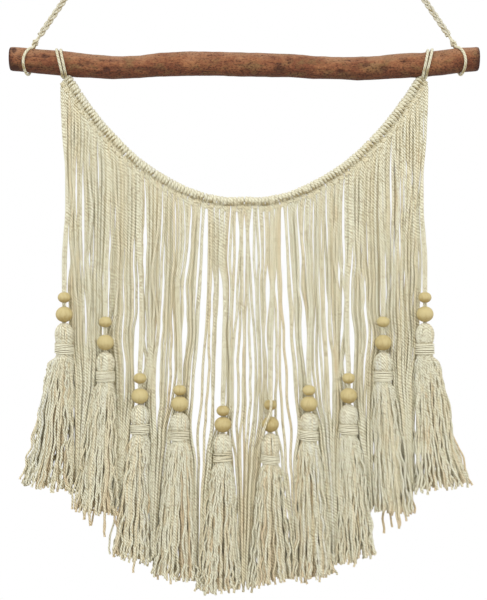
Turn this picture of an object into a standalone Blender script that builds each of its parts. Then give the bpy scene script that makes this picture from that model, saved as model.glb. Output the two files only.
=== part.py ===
"""Macrame wall hanging on a branch: header of lark's-head knots, string curtain, ten beaded tassels.

Metres, +Z up. X runs to the right, Y towards the wall. The origin is the hanging point: the
underside of the hanger's bend, where the hook carries it. Tables are in millimetres.
"""

from collections import namedtuple
from math import acos, atan2, ceil, cos, pi, radians, sin

import bmesh
import bpy
from mathutils import Vector

MM = 0.001
GAP = 0.3 * MM  # between pieces that touch
HANGING_GAP = 0.9 * MM  # straight down from the sloping header to what hangs under it
CLOTH_CLEARANCE = 2 * MM  # between the strands and the tassels that hang before them
WELD = 0.001 * MM
SHARP_ANGLE = radians(50)

# Branch
BRANCH_SIDES = 12
BRANCH_CHAMFER = 1.2 * MM
BRANCH_STEP = 24 * MM
BranchSection = namedtuple("BranchSection", "x z radius")
BRANCH = (
    BranchSection(-274.0, -366.0, 13.6),
    BranchSection(-232.0, -369.2, 14.0),
    BranchSection(-202.0, -371.7, 14.3),
    BranchSection(-178.0, -374.0, 13.6),
    BranchSection(-155.0, -375.4, 13.3),
    BranchSection(-122.0, -374.5, 12.9),
    BranchSection(-98.0, -372.2, 13.7),
    BranchSection(-48.0, -370.7, 13.9),
    BranchSection(3.0, -371.9, 13.8),
    BranchSection(52.0, -373.1, 13.5),
    BranchSection(101.0, -375.7, 12.7),
    BranchSection(133.0, -376.6, 13.3),
    BranchSection(160.0, -375.4, 13.7),
    BranchSection(196.0, -372.4, 14.3),
    BranchSection(220.0, -370.4, 14.4),
    BranchSection(256.0, -366.8, 14.4),
    BranchSection(274.0, -365.4, 13.7),
)

# Hanger, and the ties that hold it to the branch
HANGER_RADIUS = 3.4 * MM
HOOK_RADIUS = 9 * MM  # the bend's radius to the cord's axis
HOOK_FLAT = 2 * MM  # half the level stretch on the hook
HANGER_FOOT = (237.5 * MM, -337.2 * MM)
TIE_KNOT = (244.9 * MM, -346.0 * MM)
TIE_KNOT_HALF = (4.2 * MM, 4.0 * MM, 4.9 * MM)
TIE_LOOP_TOP = 247.0 * MM
TIE_LOOP_FRONT = 259.0 * MM
TIE_LOOP_BELOW = 256.0 * MM
TIE_NECK_RADIUS = 2.1 * MM
TIE_OPENING = radians(14)  # where the loop enters its knot, each way from the branch's top
CORD_RADIUS = 1.5 * MM
LOOP_STEPS = 14

# Ties that hold the header to the branch
HEADER_KNOT = (206.5 * MM, -389.9 * MM)
HEADER_KNOT_HALF = (4.8 * MM, 3.6 * MM, 2.9 * MM)
HEADER_LOOP_TOP = 217.5 * MM
HEADER_LOOP_SPACING = 5.2 * MM
HEADER_LOOP_WAIST = 4.4 * MM
HEADER_LOOP_OPENING = radians(12)

# Header: the knotted band along the holding cord, from its middle out to one end
HEADER_HALF_HEIGHT = 5.9 * MM
HEADER_HALF_DEPTH = 4.0 * MM
HeaderPoint = namedtuple("HeaderPoint", "x z")
HEADER = (
    HeaderPoint(0.0, -533.0),
    HeaderPoint(23.5, -533.0),
    HeaderPoint(48.5, -528.6),
    HeaderPoint(75.5, -519.0),
    HeaderPoint(100.0, -505.6),
    HeaderPoint(122.5, -489.9),
    HeaderPoint(149.0, -465.3),
    HeaderPoint(174.0, -436.6),
    HeaderPoint(193.5, -409.5),
    HeaderPoint(204.0, -393.6),
)
HEADER_STEP = 14 * MM

# String curtain: one comb, its gaps given by centre and width at three heights
COMB_THICKNESS = 3.0 * MM
COMB_HEADING = 9 * MM
COMB_COLUMN = 13 * MM
COMB_LEFT = (-214.5, -209.5, -211.0)
COMB_RIGHT = (214.5, 209.5, 211.0)
COMB_MIDDLE_Z = -660 * MM
COMB_LOW_Z = -765 * MM
COMB_LEAN_DROP = 200 * MM  # the drop in which the strands come to lie behind the tassels
CombGap = namedtuple("CombGap", "top_x top_width middle_x middle_width low_x low_width")
COMB_GAPS = (
    CombGap(-189.2, 2.4, -188.6, 2.4, -188.0, 2.4),
    CombGap(-116.8, 3.2, -122.5, 13.0, -126.0, 8.0),
    CombGap(-97.0, 3.0, -97.8, 5.0, -102.0, 5.0),
    CombGap(-64.2, 3.0, -70.0, 5.8, -73.0, 5.0),
    CombGap(-46.0, 4.6, -49.0, 6.2, -57.0, 6.2),
    CombGap(-31.0, 3.0, -28.6, 6.2, -32.0, 6.2),
    CombGap(-8.6, 3.0, -11.0, 5.0, -11.0, 5.0),
    CombGap(7.8, 3.0, 10.0, 5.0, 9.0, 5.0),
    CombGap(27.5, 3.0, 37.5, 5.0, 39.2, 5.0),
    CombGap(44.6, 4.6, 48.4, 6.2, 56.2, 6.2),
    CombGap(63.4, 3.0, 69.0, 5.8, 71.0, 5.0),
    CombGap(96.1, 3.0, 96.9, 5.0, 101.0, 5.0),
    CombGap(115.8, 3.2, 122.0, 12.0, 126.0, 8.0),
    CombGap(189.2, 2.4, 188.6, 2.4, 188.0, 2.4),
)
CombHem = namedtuple("CombHem", "x z")
COMB_HEM = (
    CombHem(-214.0, -842.0),
    CombHem(-163.0, -870.0),
    CombHem(-122.0, -925.0),
    CombHem(-75.0, -955.0),
    CombHem(-25.0, -968.0),
    CombHem(25.0, -968.0),
    CombHem(75.0, -955.0),
    CombHem(122.0, -925.0),
    CombHem(163.0, -870.0),
    CombHem(214.0, -842.0),
)

# Beads
BORE_RADIUS = 2.7 * MM
BEAD_CORD_RADIUS = 2.1 * MM
SMALL_BEAD = (7.6 * MM, 6.5 * MM)  # radius across, half height
LARGE_BEAD = (10.0 * MM, 9.3 * MM)
BEAD_SEGMENTS = 12

# Tassels
TASSEL_SIDES = 12
TASSEL_Y = -8.0 * MM
HEAD_RADIUS = 11.6 * MM
NECK_RADIUS = 9.0 * MM
BINDING_RADIUS = 11.0 * MM
HEM_HALF_DEPTH = 13.2 * MM
COMB_LEAN = TASSEL_Y + HEM_HALF_DEPTH + CLOTH_CLEARANCE + COMB_THICKNESS / 2
Tassel = namedtuple(
    "Tassel", "x small_z large_z head_z neck_z neck_low_z hem_left hem_right hem_left_z hem_right_z"
)
TASSELS = (
    Tassel(-210.3, -644.6, -664.3, -674.3, -697.2, -711.8, -262.5, -196.6, -858.0, -872.0),
    Tassel(-162.2, -673.2, -697.2, -708.6, -728.9, -743.5, -193.8, -149.6, -892.0, -897.0),
    Tassel(-121.9, -739.0, -759.7, -769.6, -791.5, -804.7, -152.5, -108.0, -945.0, -953.0),
    Tassel(-75.4, -753.0, -768.9, -778.9, -798.9, -811.9, -106.0, -56.5, -970.0, -978.0),
    Tassel(-25.0, -776.9, -793.0, -803.1, -825.0, -837.0, -53.4, -3.9, -986.0, -988.0),
    Tassel(30.4, -770.1, -792.6, -803.1, -826.6, -839.1, 3.2, 59.4, -984.0, -972.0),
    Tassel(75.4, -753.0, -768.9, -778.9, -798.5, -812.6, 61.8, 105.4, -979.0, -969.0),
    Tassel(121.7, -739.0, -759.3, -769.4, -791.5, -805.0, 108.0, 153.0, -955.0, -943.0),
    Tassel(162.1, -673.0, -697.3, -708.6, -728.8, -743.5, 150.0, 194.2, -892.0, -896.0),
    Tassel(210.8, -644.6, -664.1, -674.5, -696.7, -711.8, 196.6, 264.0, -871.0, -858.0),
)
SKIRT_TOP = 3 * MM  # below the binding
Spread = namedtuple("Spread", "drop width")
HEAD_SHAPE = (Spread(0.0, 0.4), Spread(0.1, 0.72), Spread(0.35, 0.97), Spread(0.7, 1.0))
SKIRT_SHAPE = (
    Spread(0.0, 0.0),
    Spread(0.12, 0.2),
    Spread(0.32, 0.42),
    Spread(0.6, 0.66),
    Spread(0.85, 0.86),
    Spread(1.0, 1.0),
)
BINDING_CHAMFER = 1 * MM

Finish = namedtuple("Finish", "colour roughness")
FINISHES = {
    "branch_wood": Finish((0.26, 0.10, 0.05, 1.0), 0.65),
    "cotton_cord": Finish((0.66, 0.62, 0.50, 1.0), 0.9),
    "strand_cord": Finish((0.62, 0.56, 0.43, 1.0), 0.9),
    "bead_wood": Finish((0.72, 0.52, 0.25, 1.0), 0.45),
}


def clear_scene():
    for obj in list(bpy.data.objects):
        bpy.data.objects.remove(obj)


def finish(name, kind):
    """A material of one kind for one object."""
    material = bpy.data.materials.new(f"{kind}_{name}")
    material.use_nodes = True
    shader = material.node_tree.nodes["Principled BSDF"]
    shader.inputs["Base Color"].default_value = FINISHES[kind].colour
    shader.inputs["Roughness"].default_value = FINISHES[kind].roughness
    shader.inputs["Metallic"].default_value = 0.0
    material.diffuse_color = FINISHES[kind].colour
    return material


def place(name, data, kind, location=(0, 0, 0)):
    obj = bpy.data.objects.new(name, data)
    obj.location = location
    if kind:
        data.materials.append(finish(name, kind))
    bpy.context.scene.collection.objects.link(obj)
    return obj


def blend(points, at):
    """The value at `at` on straight lines through (place, value) pairs, flat beyond the ends."""
    if at <= points[0][0]:
        return points[0][1]
    for (low, first), (high, second) in zip(points, points[1:]):
        if at <= high:
            return first + (second - first) * (at - low) / (high - low)
    return points[-1][1]


def smooth_path(points, step):
    """Even points about `step` apart on a Catmull-Rom curve through the given points."""
    ends = [points[0] * 2 - points[1], *points, points[-1] * 2 - points[-2]]
    path = []
    for before, start, stop, after in zip(ends, ends[1:], ends[2:], ends[3:]):
        count = max(1, ceil((stop - start).length / step))
        for i in range(count):
            t = i / count
            path.append(
                0.5
                * (
                    2 * start
                    + (stop - before) * t
                    + (2 * before - 5 * start + 4 * stop - after) * t**2
                    + (3 * start - before - 3 * stop + after) * t**3
                )
            )
    path.append(points[-1].copy())
    return path


def mesh_object(name, mesh, kind, location=(0, 0, 0)):
    """A smooth-shaded object from a bmesh, its normals turned outwards."""
    bmesh.ops.recalc_face_normals(mesh, faces=mesh.faces)
    data = bpy.data.meshes.new(name)
    mesh.to_mesh(data)
    mesh.free()
    data.shade_smooth()
    data.set_sharp_from_angle(angle=SHARP_ANGLE)
    return place(name, data, kind, location)


def lofted(name, rings, kind):
    """A closed body through rings of equal point counts, its two ends capped flat."""
    mesh = bmesh.new()
    rows = [[mesh.verts.new(point) for point in ring] for ring in rings]
    count = len(rows[0])
    for low, high in zip(rows, rows[1:]):
        for i in range(count):
            j = (i + 1) % count
            mesh.faces.new((low[i], low[j], high[j], high[i]))
    mesh.faces.new(reversed(rows[0]))
    mesh.faces.new(rows[-1])
    return mesh_object(name, mesh, kind)


def tube(name, points, radius, kind):
    """A cord: a bevelled curve with filled caps."""
    data = bpy.data.curves.new(name, "CURVE")
    data.dimensions = "3D"
    data.bevel_depth = radius
    data.bevel_resolution = 2
    data.use_fill_caps = True
    spline = data.splines.new("POLY")
    spline.points.add(len(points) - 1)
    for slot, point in zip(spline.points, points):
        slot.co = (*point, 1)
    return place(name, data, kind)


def turned(name, profile, segments, kind, location):
    """A ring turned about Z from a closed profile of (radius, height) points."""
    mesh = bmesh.new()
    verts = [mesh.verts.new((radius, 0, height)) for radius, height in profile]
    edges = [mesh.edges.new((a, b)) for a, b in zip(verts, verts[1:] + verts[:1])]
    bmesh.ops.spin(
        mesh,
        geom=verts + edges,
        cent=(0, 0, 0),
        axis=(0, 0, 1),
        angle=2 * pi,
        steps=segments,
        use_merge=True,
    )
    bmesh.ops.remove_doubles(mesh, verts=mesh.verts, dist=WELD)
    return mesh_object(name, mesh, kind, location)


def joined(base, others):
    """Unites hidden helper bodies with their base."""
    for other in others:
        other.hide_render = True
        other.display_type = "WIRE"
        union = base.modifiers.new(other.name, "BOOLEAN")
        union.operation = "UNION"
        union.object = other
    return base


def mesh_tube(name, points, radius):
    """A helper cord as a closed mesh, which a Boolean can use."""
    curve = tube(name, points, radius, None)
    graph = bpy.context.evaluated_depsgraph_get()
    data = bpy.data.meshes.new_from_object(curve.evaluated_get(graph))
    bpy.data.objects.remove(curve)
    mesh = bmesh.new()
    mesh.from_mesh(data)
    bmesh.ops.remove_doubles(mesh, verts=mesh.verts, dist=WELD)
    return mesh_object(name, mesh, None)


def ellipsoid(name, centre, half, kind):
    """A knot's rounded body, flat at its two small ends."""
    around, rings = 12, 7
    rows = []
    for i in range(1, rings):
        height = cos(pi * i / rings)
        width = sin(pi * i / rings)
        rows.append(
            [
                Vector(centre)
                + Vector(
                    (
                        half[0] * width * cos(2 * pi * j / around),
                        half[1] * width * sin(2 * pi * j / around),
                        half[2] * height,
                    )
                )
                for j in range(around)
            ]
        )
    return lofted(name, rows, kind)


def branch_at(x):
    """(z, radius) of the branch in metres at x."""
    z = blend([(row.x * MM, row.z * MM) for row in BRANCH], x)
    radius = blend([(row.x * MM, row.radius * MM) for row in BRANCH], x)
    return z, radius


def branch():
    """A round branch whose height and thickness vary along it. A path point holds x, radius and z."""
    path = [Vector((row.x * MM, row.radius * MM, row.z * MM)) for row in BRANCH]
    path = smooth_path(path, BRANCH_STEP)
    first, last = path[0], path[-1]
    ends = (
        Vector((first.x - BRANCH_CHAMFER, first.y - BRANCH_CHAMFER, first.z)),
        Vector((last.x + BRANCH_CHAMFER, last.y - BRANCH_CHAMFER, last.z)),
    )
    rings = []
    turns = [2 * pi * i / BRANCH_SIDES for i in range(BRANCH_SIDES)]
    for x, radius, z in (ends[0], *path, ends[1]):
        rings.append([Vector((x, radius * cos(turn), z + radius * sin(turn))) for turn in turns])
    return lofted("branch", rings, "branch_wood")


def hanger_leg(name, side):
    """Half of the hanger: from the top of the bend over the hook straight down to its foot."""
    foot = Vector((HANGER_FOOT[0], 0, HANGER_FOOT[1]))
    centre = Vector((HOOK_FLAT, 0, HANGER_RADIUS - HOOK_RADIUS))
    reach = foot - centre
    lean = atan2(reach.z, reach.x)
    tangent = lean + acos(HOOK_RADIUS / reach.length)
    bend_steps = 5
    points = [Vector((GAP / 2, 0, HANGER_RADIUS))]
    for i in range(bend_steps + 1):
        angle = pi / 2 + (tangent - pi / 2) * i / bend_steps
        points.append(centre + HOOK_RADIUS * Vector((cos(angle), 0, sin(angle))))
    bend_end = points[-1]
    straight_steps = 6
    for i in range(1, straight_steps + 1):
        points.append(bend_end.lerp(foot, i / straight_steps))
    for point in points:
        point.x *= side
    return tube(name, points, HANGER_RADIUS, "cotton_cord")


def loop_round_branch(side, across, opening):
    """A cord round the branch in front and behind, open by `opening` each way about its start.

    `across` holds (turn, x) pairs; turn 0 is over the branch's top, a quarter turn its front.
    """
    first, last = across[0][0] + opening, across[-1][0] - opening
    route = []
    for i in range(LOOP_STEPS + 1):
        turn = first + (last - first) * i / LOOP_STEPS
        x = blend(across, turn)
        z, branch_radius = branch_at(side * x)
        radius = branch_radius + CORD_RADIUS + 2 * GAP
        route.append(Vector((side * x, -radius * sin(turn), z + radius * cos(turn))))
    return route


def tie(name, side):
    """The loop round the branch, the knot above it and the doubled cord up to the hanger."""
    knot = Vector((side * TIE_KNOT[0], 0, TIE_KNOT[1]))
    foot = Vector((side * HANGER_FOOT[0], 0, HANGER_FOOT[1]))
    quarter = pi / 2
    across = (
        (0, TIE_LOOP_TOP),
        (quarter, TIE_LOOP_FRONT),
        (2 * quarter, TIE_LOOP_BELOW),
        (4 * quarter, TIE_LOOP_TOP),
    )
    route = [knot, *loop_round_branch(side, across, TIE_OPENING), knot]
    loop = mesh_tube(f"{name}_loop", route, CORD_RADIUS)
    away = (foot - knot).normalized()
    neck_top = foot - away * GAP
    neck = mesh_tube(f"{name}_neck", [knot, neck_top], TIE_NECK_RADIUS)
    body = ellipsoid(name, knot, TIE_KNOT_HALF, "cotton_cord")
    return joined(body, (loop, neck))


def header_loop(name, side):
    """A doubled cord over the branch, both of its ends in the wrapped knot under the branch."""
    knot = Vector((side * HEADER_KNOT[0], 0, HEADER_KNOT[1]))
    helpers = []
    for number, shift in ((1, 0.5), (2, -0.5)):
        waist = HEADER_KNOT[0] + shift * HEADER_LOOP_WAIST
        top = HEADER_LOOP_TOP + shift * HEADER_LOOP_SPACING
        # Turn runs from below the branch, up its front, over the top and down its back.
        across = ((-pi, waist), (0, top), (pi, waist))
        route = loop_round_branch(side, across, HEADER_LOOP_OPENING)
        near = knot + Vector((side * shift * HEADER_LOOP_WAIST / 2, 0, 0))
        helpers.append(mesh_tube(f"{name}_cord_{number}", [near, *route, near], CORD_RADIUS))
    body = ellipsoid(name, knot, HEADER_KNOT_HALF, "cotton_cord")
    return joined(body, helpers)


def header_path():
    """The holding cord's axis from its left end to its right end."""
    half = [Vector((row.x * MM, 0, row.z * MM)) for row in HEADER]
    whole = [Vector((-point.x, 0, point.z)) for point in reversed(half[1:])] + half
    return smooth_path(whole, HEADER_STEP)


def header_stations():
    """Points along the header's axis, each with the direction square to it in the upright plane."""
    path = header_path()
    stations = []
    for i, point in enumerate(path):
        along = (path[min(i + 1, len(path) - 1)] - path[max(i - 1, 0)]).normalized()
        stations.append((point, Vector((-along.z, 0, along.x))))
    return stations


def header():
    """The knotted band: an eight-sided section, taller than deep, swept along its curve."""
    corner = ((1.0, 0.45), (0.6, 1.0))
    back = corner + tuple((-high, deep) for high, deep in reversed(corner))
    section = back + tuple((high, -deep) for high, deep in reversed(back))
    rings = []
    for point, up in header_stations():
        rings.append(
            [
                point + up * (HEADER_HALF_HEIGHT * high) + Vector((0, HEADER_HALF_DEPTH * deep, 0))
                for high, deep in section
            ]
        )
    return lofted("header", rings, "cotton_cord")


def header_underside(x):
    """Height of the header's lower edge at x, for the cords that hang below it."""
    low = [point - up * HEADER_HALF_HEIGHT for point, up in header_stations()]
    return blend([(point.x, point.z) for point in low], x)


def comb_lean(drop):
    """How far back a strand lies after this drop below the header."""
    return COMB_LEAN * min(1.0, drop / COMB_LEAN_DROP)


def gap_sides(gap):
    """The gap's left and right sides, each as x at three heights."""
    pairs = (
        (gap.top_x, gap.top_width),
        (gap.middle_x, gap.middle_width),
        (gap.low_x, gap.low_width),
    )
    left = tuple(centre - width / 2 for centre, width in pairs)
    right = tuple(centre + width / 2 for centre, width in pairs)
    return left, right


def comb_columns():
    """Columns of x at three heights, and which neighbours enclose a gap."""
    columns = [COMB_LEFT]
    gap_after = set()
    tooth_from = COMB_LEFT
    sides = [gap_sides(gap) for gap in COMB_GAPS]
    for tooth_to, next_from in sides + [(COMB_RIGHT, None)]:
        parts = max(1, round((tooth_to[0] - tooth_from[0]) * MM / COMB_COLUMN))
        for part in range(1, parts + 1):
            share = part / parts
            columns.append(tuple(a + (b - a) * share for a, b in zip(tooth_from, tooth_to)))
        if next_from:
            gap_after.add(len(columns) - 1)
            columns.append(next_from)
            tooth_from = next_from
    return columns, gap_after


def fringe():
    """The string curtain: a heading along the header, and teeth down to the V-shaped hem."""
    columns, gap_after = comb_columns()
    hem = [(row.x * MM, row.z * MM) for row in COMB_HEM]
    mesh = bmesh.new()
    rows = []
    for top_x, middle_x, low_x in columns:
        top_z = header_underside(top_x * MM) - HANGING_GAP
        heading_z = top_z - COMB_HEADING
        hem_z = blend(hem, low_x * MM)
        halfway_z = (heading_z + COMB_MIDDLE_Z) / 2
        heights = (top_z, heading_z, halfway_z, COMB_MIDDLE_Z, COMB_LOW_Z, hem_z)
        places = ((heading_z, top_x), (COMB_MIDDLE_Z, middle_x), (COMB_LOW_Z, low_x))
        places = sorted((z, x * MM) for z, x in places)
        row = []
        for z in heights:
            x = blend(places, z)
            row.append(mesh.verts.new((x, comb_lean(top_z - z), z)))
        rows.append(row)
    for number, (left, right) in enumerate(zip(rows, rows[1:])):
        last = 1 if number in gap_after else len(left) - 1
        for i in range(last):
            mesh.faces.new((left[i], left[i + 1], right[i + 1], right[i]))
    comb = mesh_object("fringe", mesh, "strand_cord")
    thickness = comb.modifiers.new("thickness", "SOLIDIFY")
    thickness.thickness = COMB_THICKNESS
    thickness.offset = 0
    return comb


def bead(name, x, z, size):
    """A turned bead, slightly wider than high, with a bore for its doubled cord."""
    radius, half_height = size
    rim = (1 - (BORE_RADIUS / radius) ** 2) ** 0.5
    steps = 6
    profile = [(BORE_RADIUS, -half_height * rim)]
    start = atan2(rim, BORE_RADIUS / radius)
    for i in range(1, steps):
        angle = -start + 2 * start * i / steps
        profile.append((radius * cos(angle), half_height * sin(angle)))
    profile.append((BORE_RADIUS, half_height * rim))
    return turned(name, profile, BEAD_SEGMENTS, "bead_wood", (x, TASSEL_Y, z))


def oval(x_left, x_right, half_depth, z_left, z_right):
    """A ring of points round an oval, its height sloping from left to right."""
    centre, half = (x_left + x_right) / 2, (x_right - x_left) / 2
    ring = []
    for i in range(TASSEL_SIDES):
        angle = 2 * pi * i / TASSEL_SIDES
        share = (1 + cos(angle)) / 2
        ring.append(
            Vector(
                (
                    centre + half * cos(angle),
                    TASSEL_Y + half_depth * sin(angle),
                    z_left + (z_right - z_left) * share,
                )
            )
        )
    return ring


def tassel(name, row):
    """Round head, drawn-in neck and a skirt that spreads to the row's hem."""
    x = row.x * MM
    head_z, neck_z, low_z = row.head_z * MM, row.neck_z * MM, row.neck_low_z * MM
    rings = []
    head_height = head_z - neck_z
    for drop, width in HEAD_SHAPE:
        z = head_z - drop * head_height
        half = HEAD_RADIUS * width
        rings.append(oval(x - half, x + half, half, z, z))
    for z in (neck_z, low_z):
        rings.append(oval(x - NECK_RADIUS, x + NECK_RADIUS, NECK_RADIUS, z, z))
    top = low_z - SKIRT_TOP
    shoulder = BINDING_RADIUS
    for drop, width in SKIRT_SHAPE:
        left = x - shoulder + (row.hem_left * MM - x + shoulder) * width
        right = x + shoulder + (row.hem_right * MM - x - shoulder) * width
        depth = shoulder + (HEM_HALF_DEPTH - shoulder) * width
        left_z = top + (row.hem_left_z * MM - top) * drop
        right_z = top + (row.hem_right_z * MM - top) * drop
        rings.append(oval(left, right, depth, left_z, right_z))
    return lofted(name, rings, "cotton_cord")


def binding(name, row):
    """The wound cord round the neck, as one collar."""
    top, low = row.neck_z * MM, row.neck_low_z * MM
    inner = NECK_RADIUS + GAP
    profile = (
        (inner, low),
        (BINDING_RADIUS - BINDING_CHAMFER, low),
        (BINDING_RADIUS, low + BINDING_CHAMFER),
        (BINDING_RADIUS, top - BINDING_CHAMFER),
        (BINDING_RADIUS - BINDING_CHAMFER, top),
        (inner, top),
    )
    return turned(name, profile, TASSEL_SIDES, "cotton_cord", (row.x * MM, TASSEL_Y, 0))


def bead_cord(name, row):
    """The doubled cord from the header through both beads to the tassel's head."""
    x = row.x * MM
    top = header_underside(x) - HANGING_GAP
    start = Vector((x, -HEADER_HALF_DEPTH, top - BEAD_CORD_RADIUS))
    stop = Vector((x, TASSEL_Y, row.head_z * MM + GAP))
    bead_top = Vector((x, TASSEL_Y, row.small_z * MM + 2 * SMALL_BEAD[1]))
    return tube(name, [start, start.lerp(bead_top, 0.5), bead_top, stop], BEAD_CORD_RADIUS, "strand_cord")


def tassels():
    for number, row in enumerate(TASSELS, 1):
        x = row.x * MM
        bead(f"bead_small_{number:02d}", x, row.small_z * MM, SMALL_BEAD)
        bead(f"bead_large_{number:02d}", x, row.large_z * MM, LARGE_BEAD)
        bead_cord(f"bead_cord_{number:02d}", row)
        tassel(f"tassel_{number:02d}", row)
        binding(f"binding_{number:02d}", row)


def build():
    clear_scene()
    branch()
    for name, side in (("left", -1), ("right", 1)):
        hanger_leg(f"hanger_{name}", side)
        tie(f"tie_{name}", side)
        header_loop(f"header_loop_{name}", side)
    header()
    fringe()
    tassels()


build()
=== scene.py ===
"""Macrame wall hanging on a branch: every knot, strand, bead and tassel, laid round its plain solids.

Metres, +Z up, X to the right, Y towards the wall. The tables are in millimetres.
"""

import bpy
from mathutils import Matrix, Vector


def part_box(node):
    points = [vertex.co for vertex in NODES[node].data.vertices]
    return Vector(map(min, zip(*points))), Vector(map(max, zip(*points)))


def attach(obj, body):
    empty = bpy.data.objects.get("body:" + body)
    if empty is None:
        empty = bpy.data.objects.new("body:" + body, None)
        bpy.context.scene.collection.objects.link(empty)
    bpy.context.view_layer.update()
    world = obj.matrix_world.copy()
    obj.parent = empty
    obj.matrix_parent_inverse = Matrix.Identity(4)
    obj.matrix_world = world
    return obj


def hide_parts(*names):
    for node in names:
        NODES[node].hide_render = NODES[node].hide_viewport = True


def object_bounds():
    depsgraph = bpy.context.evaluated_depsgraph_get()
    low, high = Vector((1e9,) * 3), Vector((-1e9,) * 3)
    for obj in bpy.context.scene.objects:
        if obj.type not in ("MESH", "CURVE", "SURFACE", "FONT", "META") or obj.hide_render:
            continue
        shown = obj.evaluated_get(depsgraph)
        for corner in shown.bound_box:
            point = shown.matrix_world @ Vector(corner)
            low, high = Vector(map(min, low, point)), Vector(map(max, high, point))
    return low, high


bl_info = {
    "name": "Macrame Wall Hanging",
    "version": (1, 0, 0),
    "blender": (4, 5, 0),
    "location": "View3D > Sidebar > Wall Hanging",
    "description": "Builds a macrame wall hanging on a branch, strand by strand",
    "category": "Add Mesh",
}

from collections import namedtuple
from math import acos, atan2, ceil, cos, pi, radians, sin
from types import SimpleNamespace

import bmesh
import bpy
import numpy as np
from mathutils import Vector, noise

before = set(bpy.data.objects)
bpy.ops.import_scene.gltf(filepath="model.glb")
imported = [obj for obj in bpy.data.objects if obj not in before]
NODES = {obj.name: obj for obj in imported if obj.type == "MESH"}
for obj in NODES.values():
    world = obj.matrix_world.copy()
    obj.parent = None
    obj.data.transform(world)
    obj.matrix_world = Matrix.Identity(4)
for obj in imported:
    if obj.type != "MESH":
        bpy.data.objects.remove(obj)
CAD_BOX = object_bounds()
ROOT = "root"

MM = 0.001
CM = 0.01
FULL_TURN = 2 * pi
UP = np.array((0.0, 0.0, 1.0))
DEPTH = np.array((0.0, 1.0, 0.0))
SIDES = (("left", -1), ("right", 1))
TASSELS = range(1, 11)


def table(fields, *rows):
    """The rows as columns with names."""
    return namedtuple("Table", fields)(*np.array(rows, float).T)


# Header: the holding cord's axis from its middle out to one end
HEADER = table(
    "x z",
    (0.0, -533.0), (23.5, -533.0), (48.5, -528.0), (75.5, -517.8), (100.0, -504.4), (122.5, -489.2),
    (149.0, -464.8), (174.0, -437.0), (193.5, -410.2), (204.0, -394.2), (209.4, -386.6),
)

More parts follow.
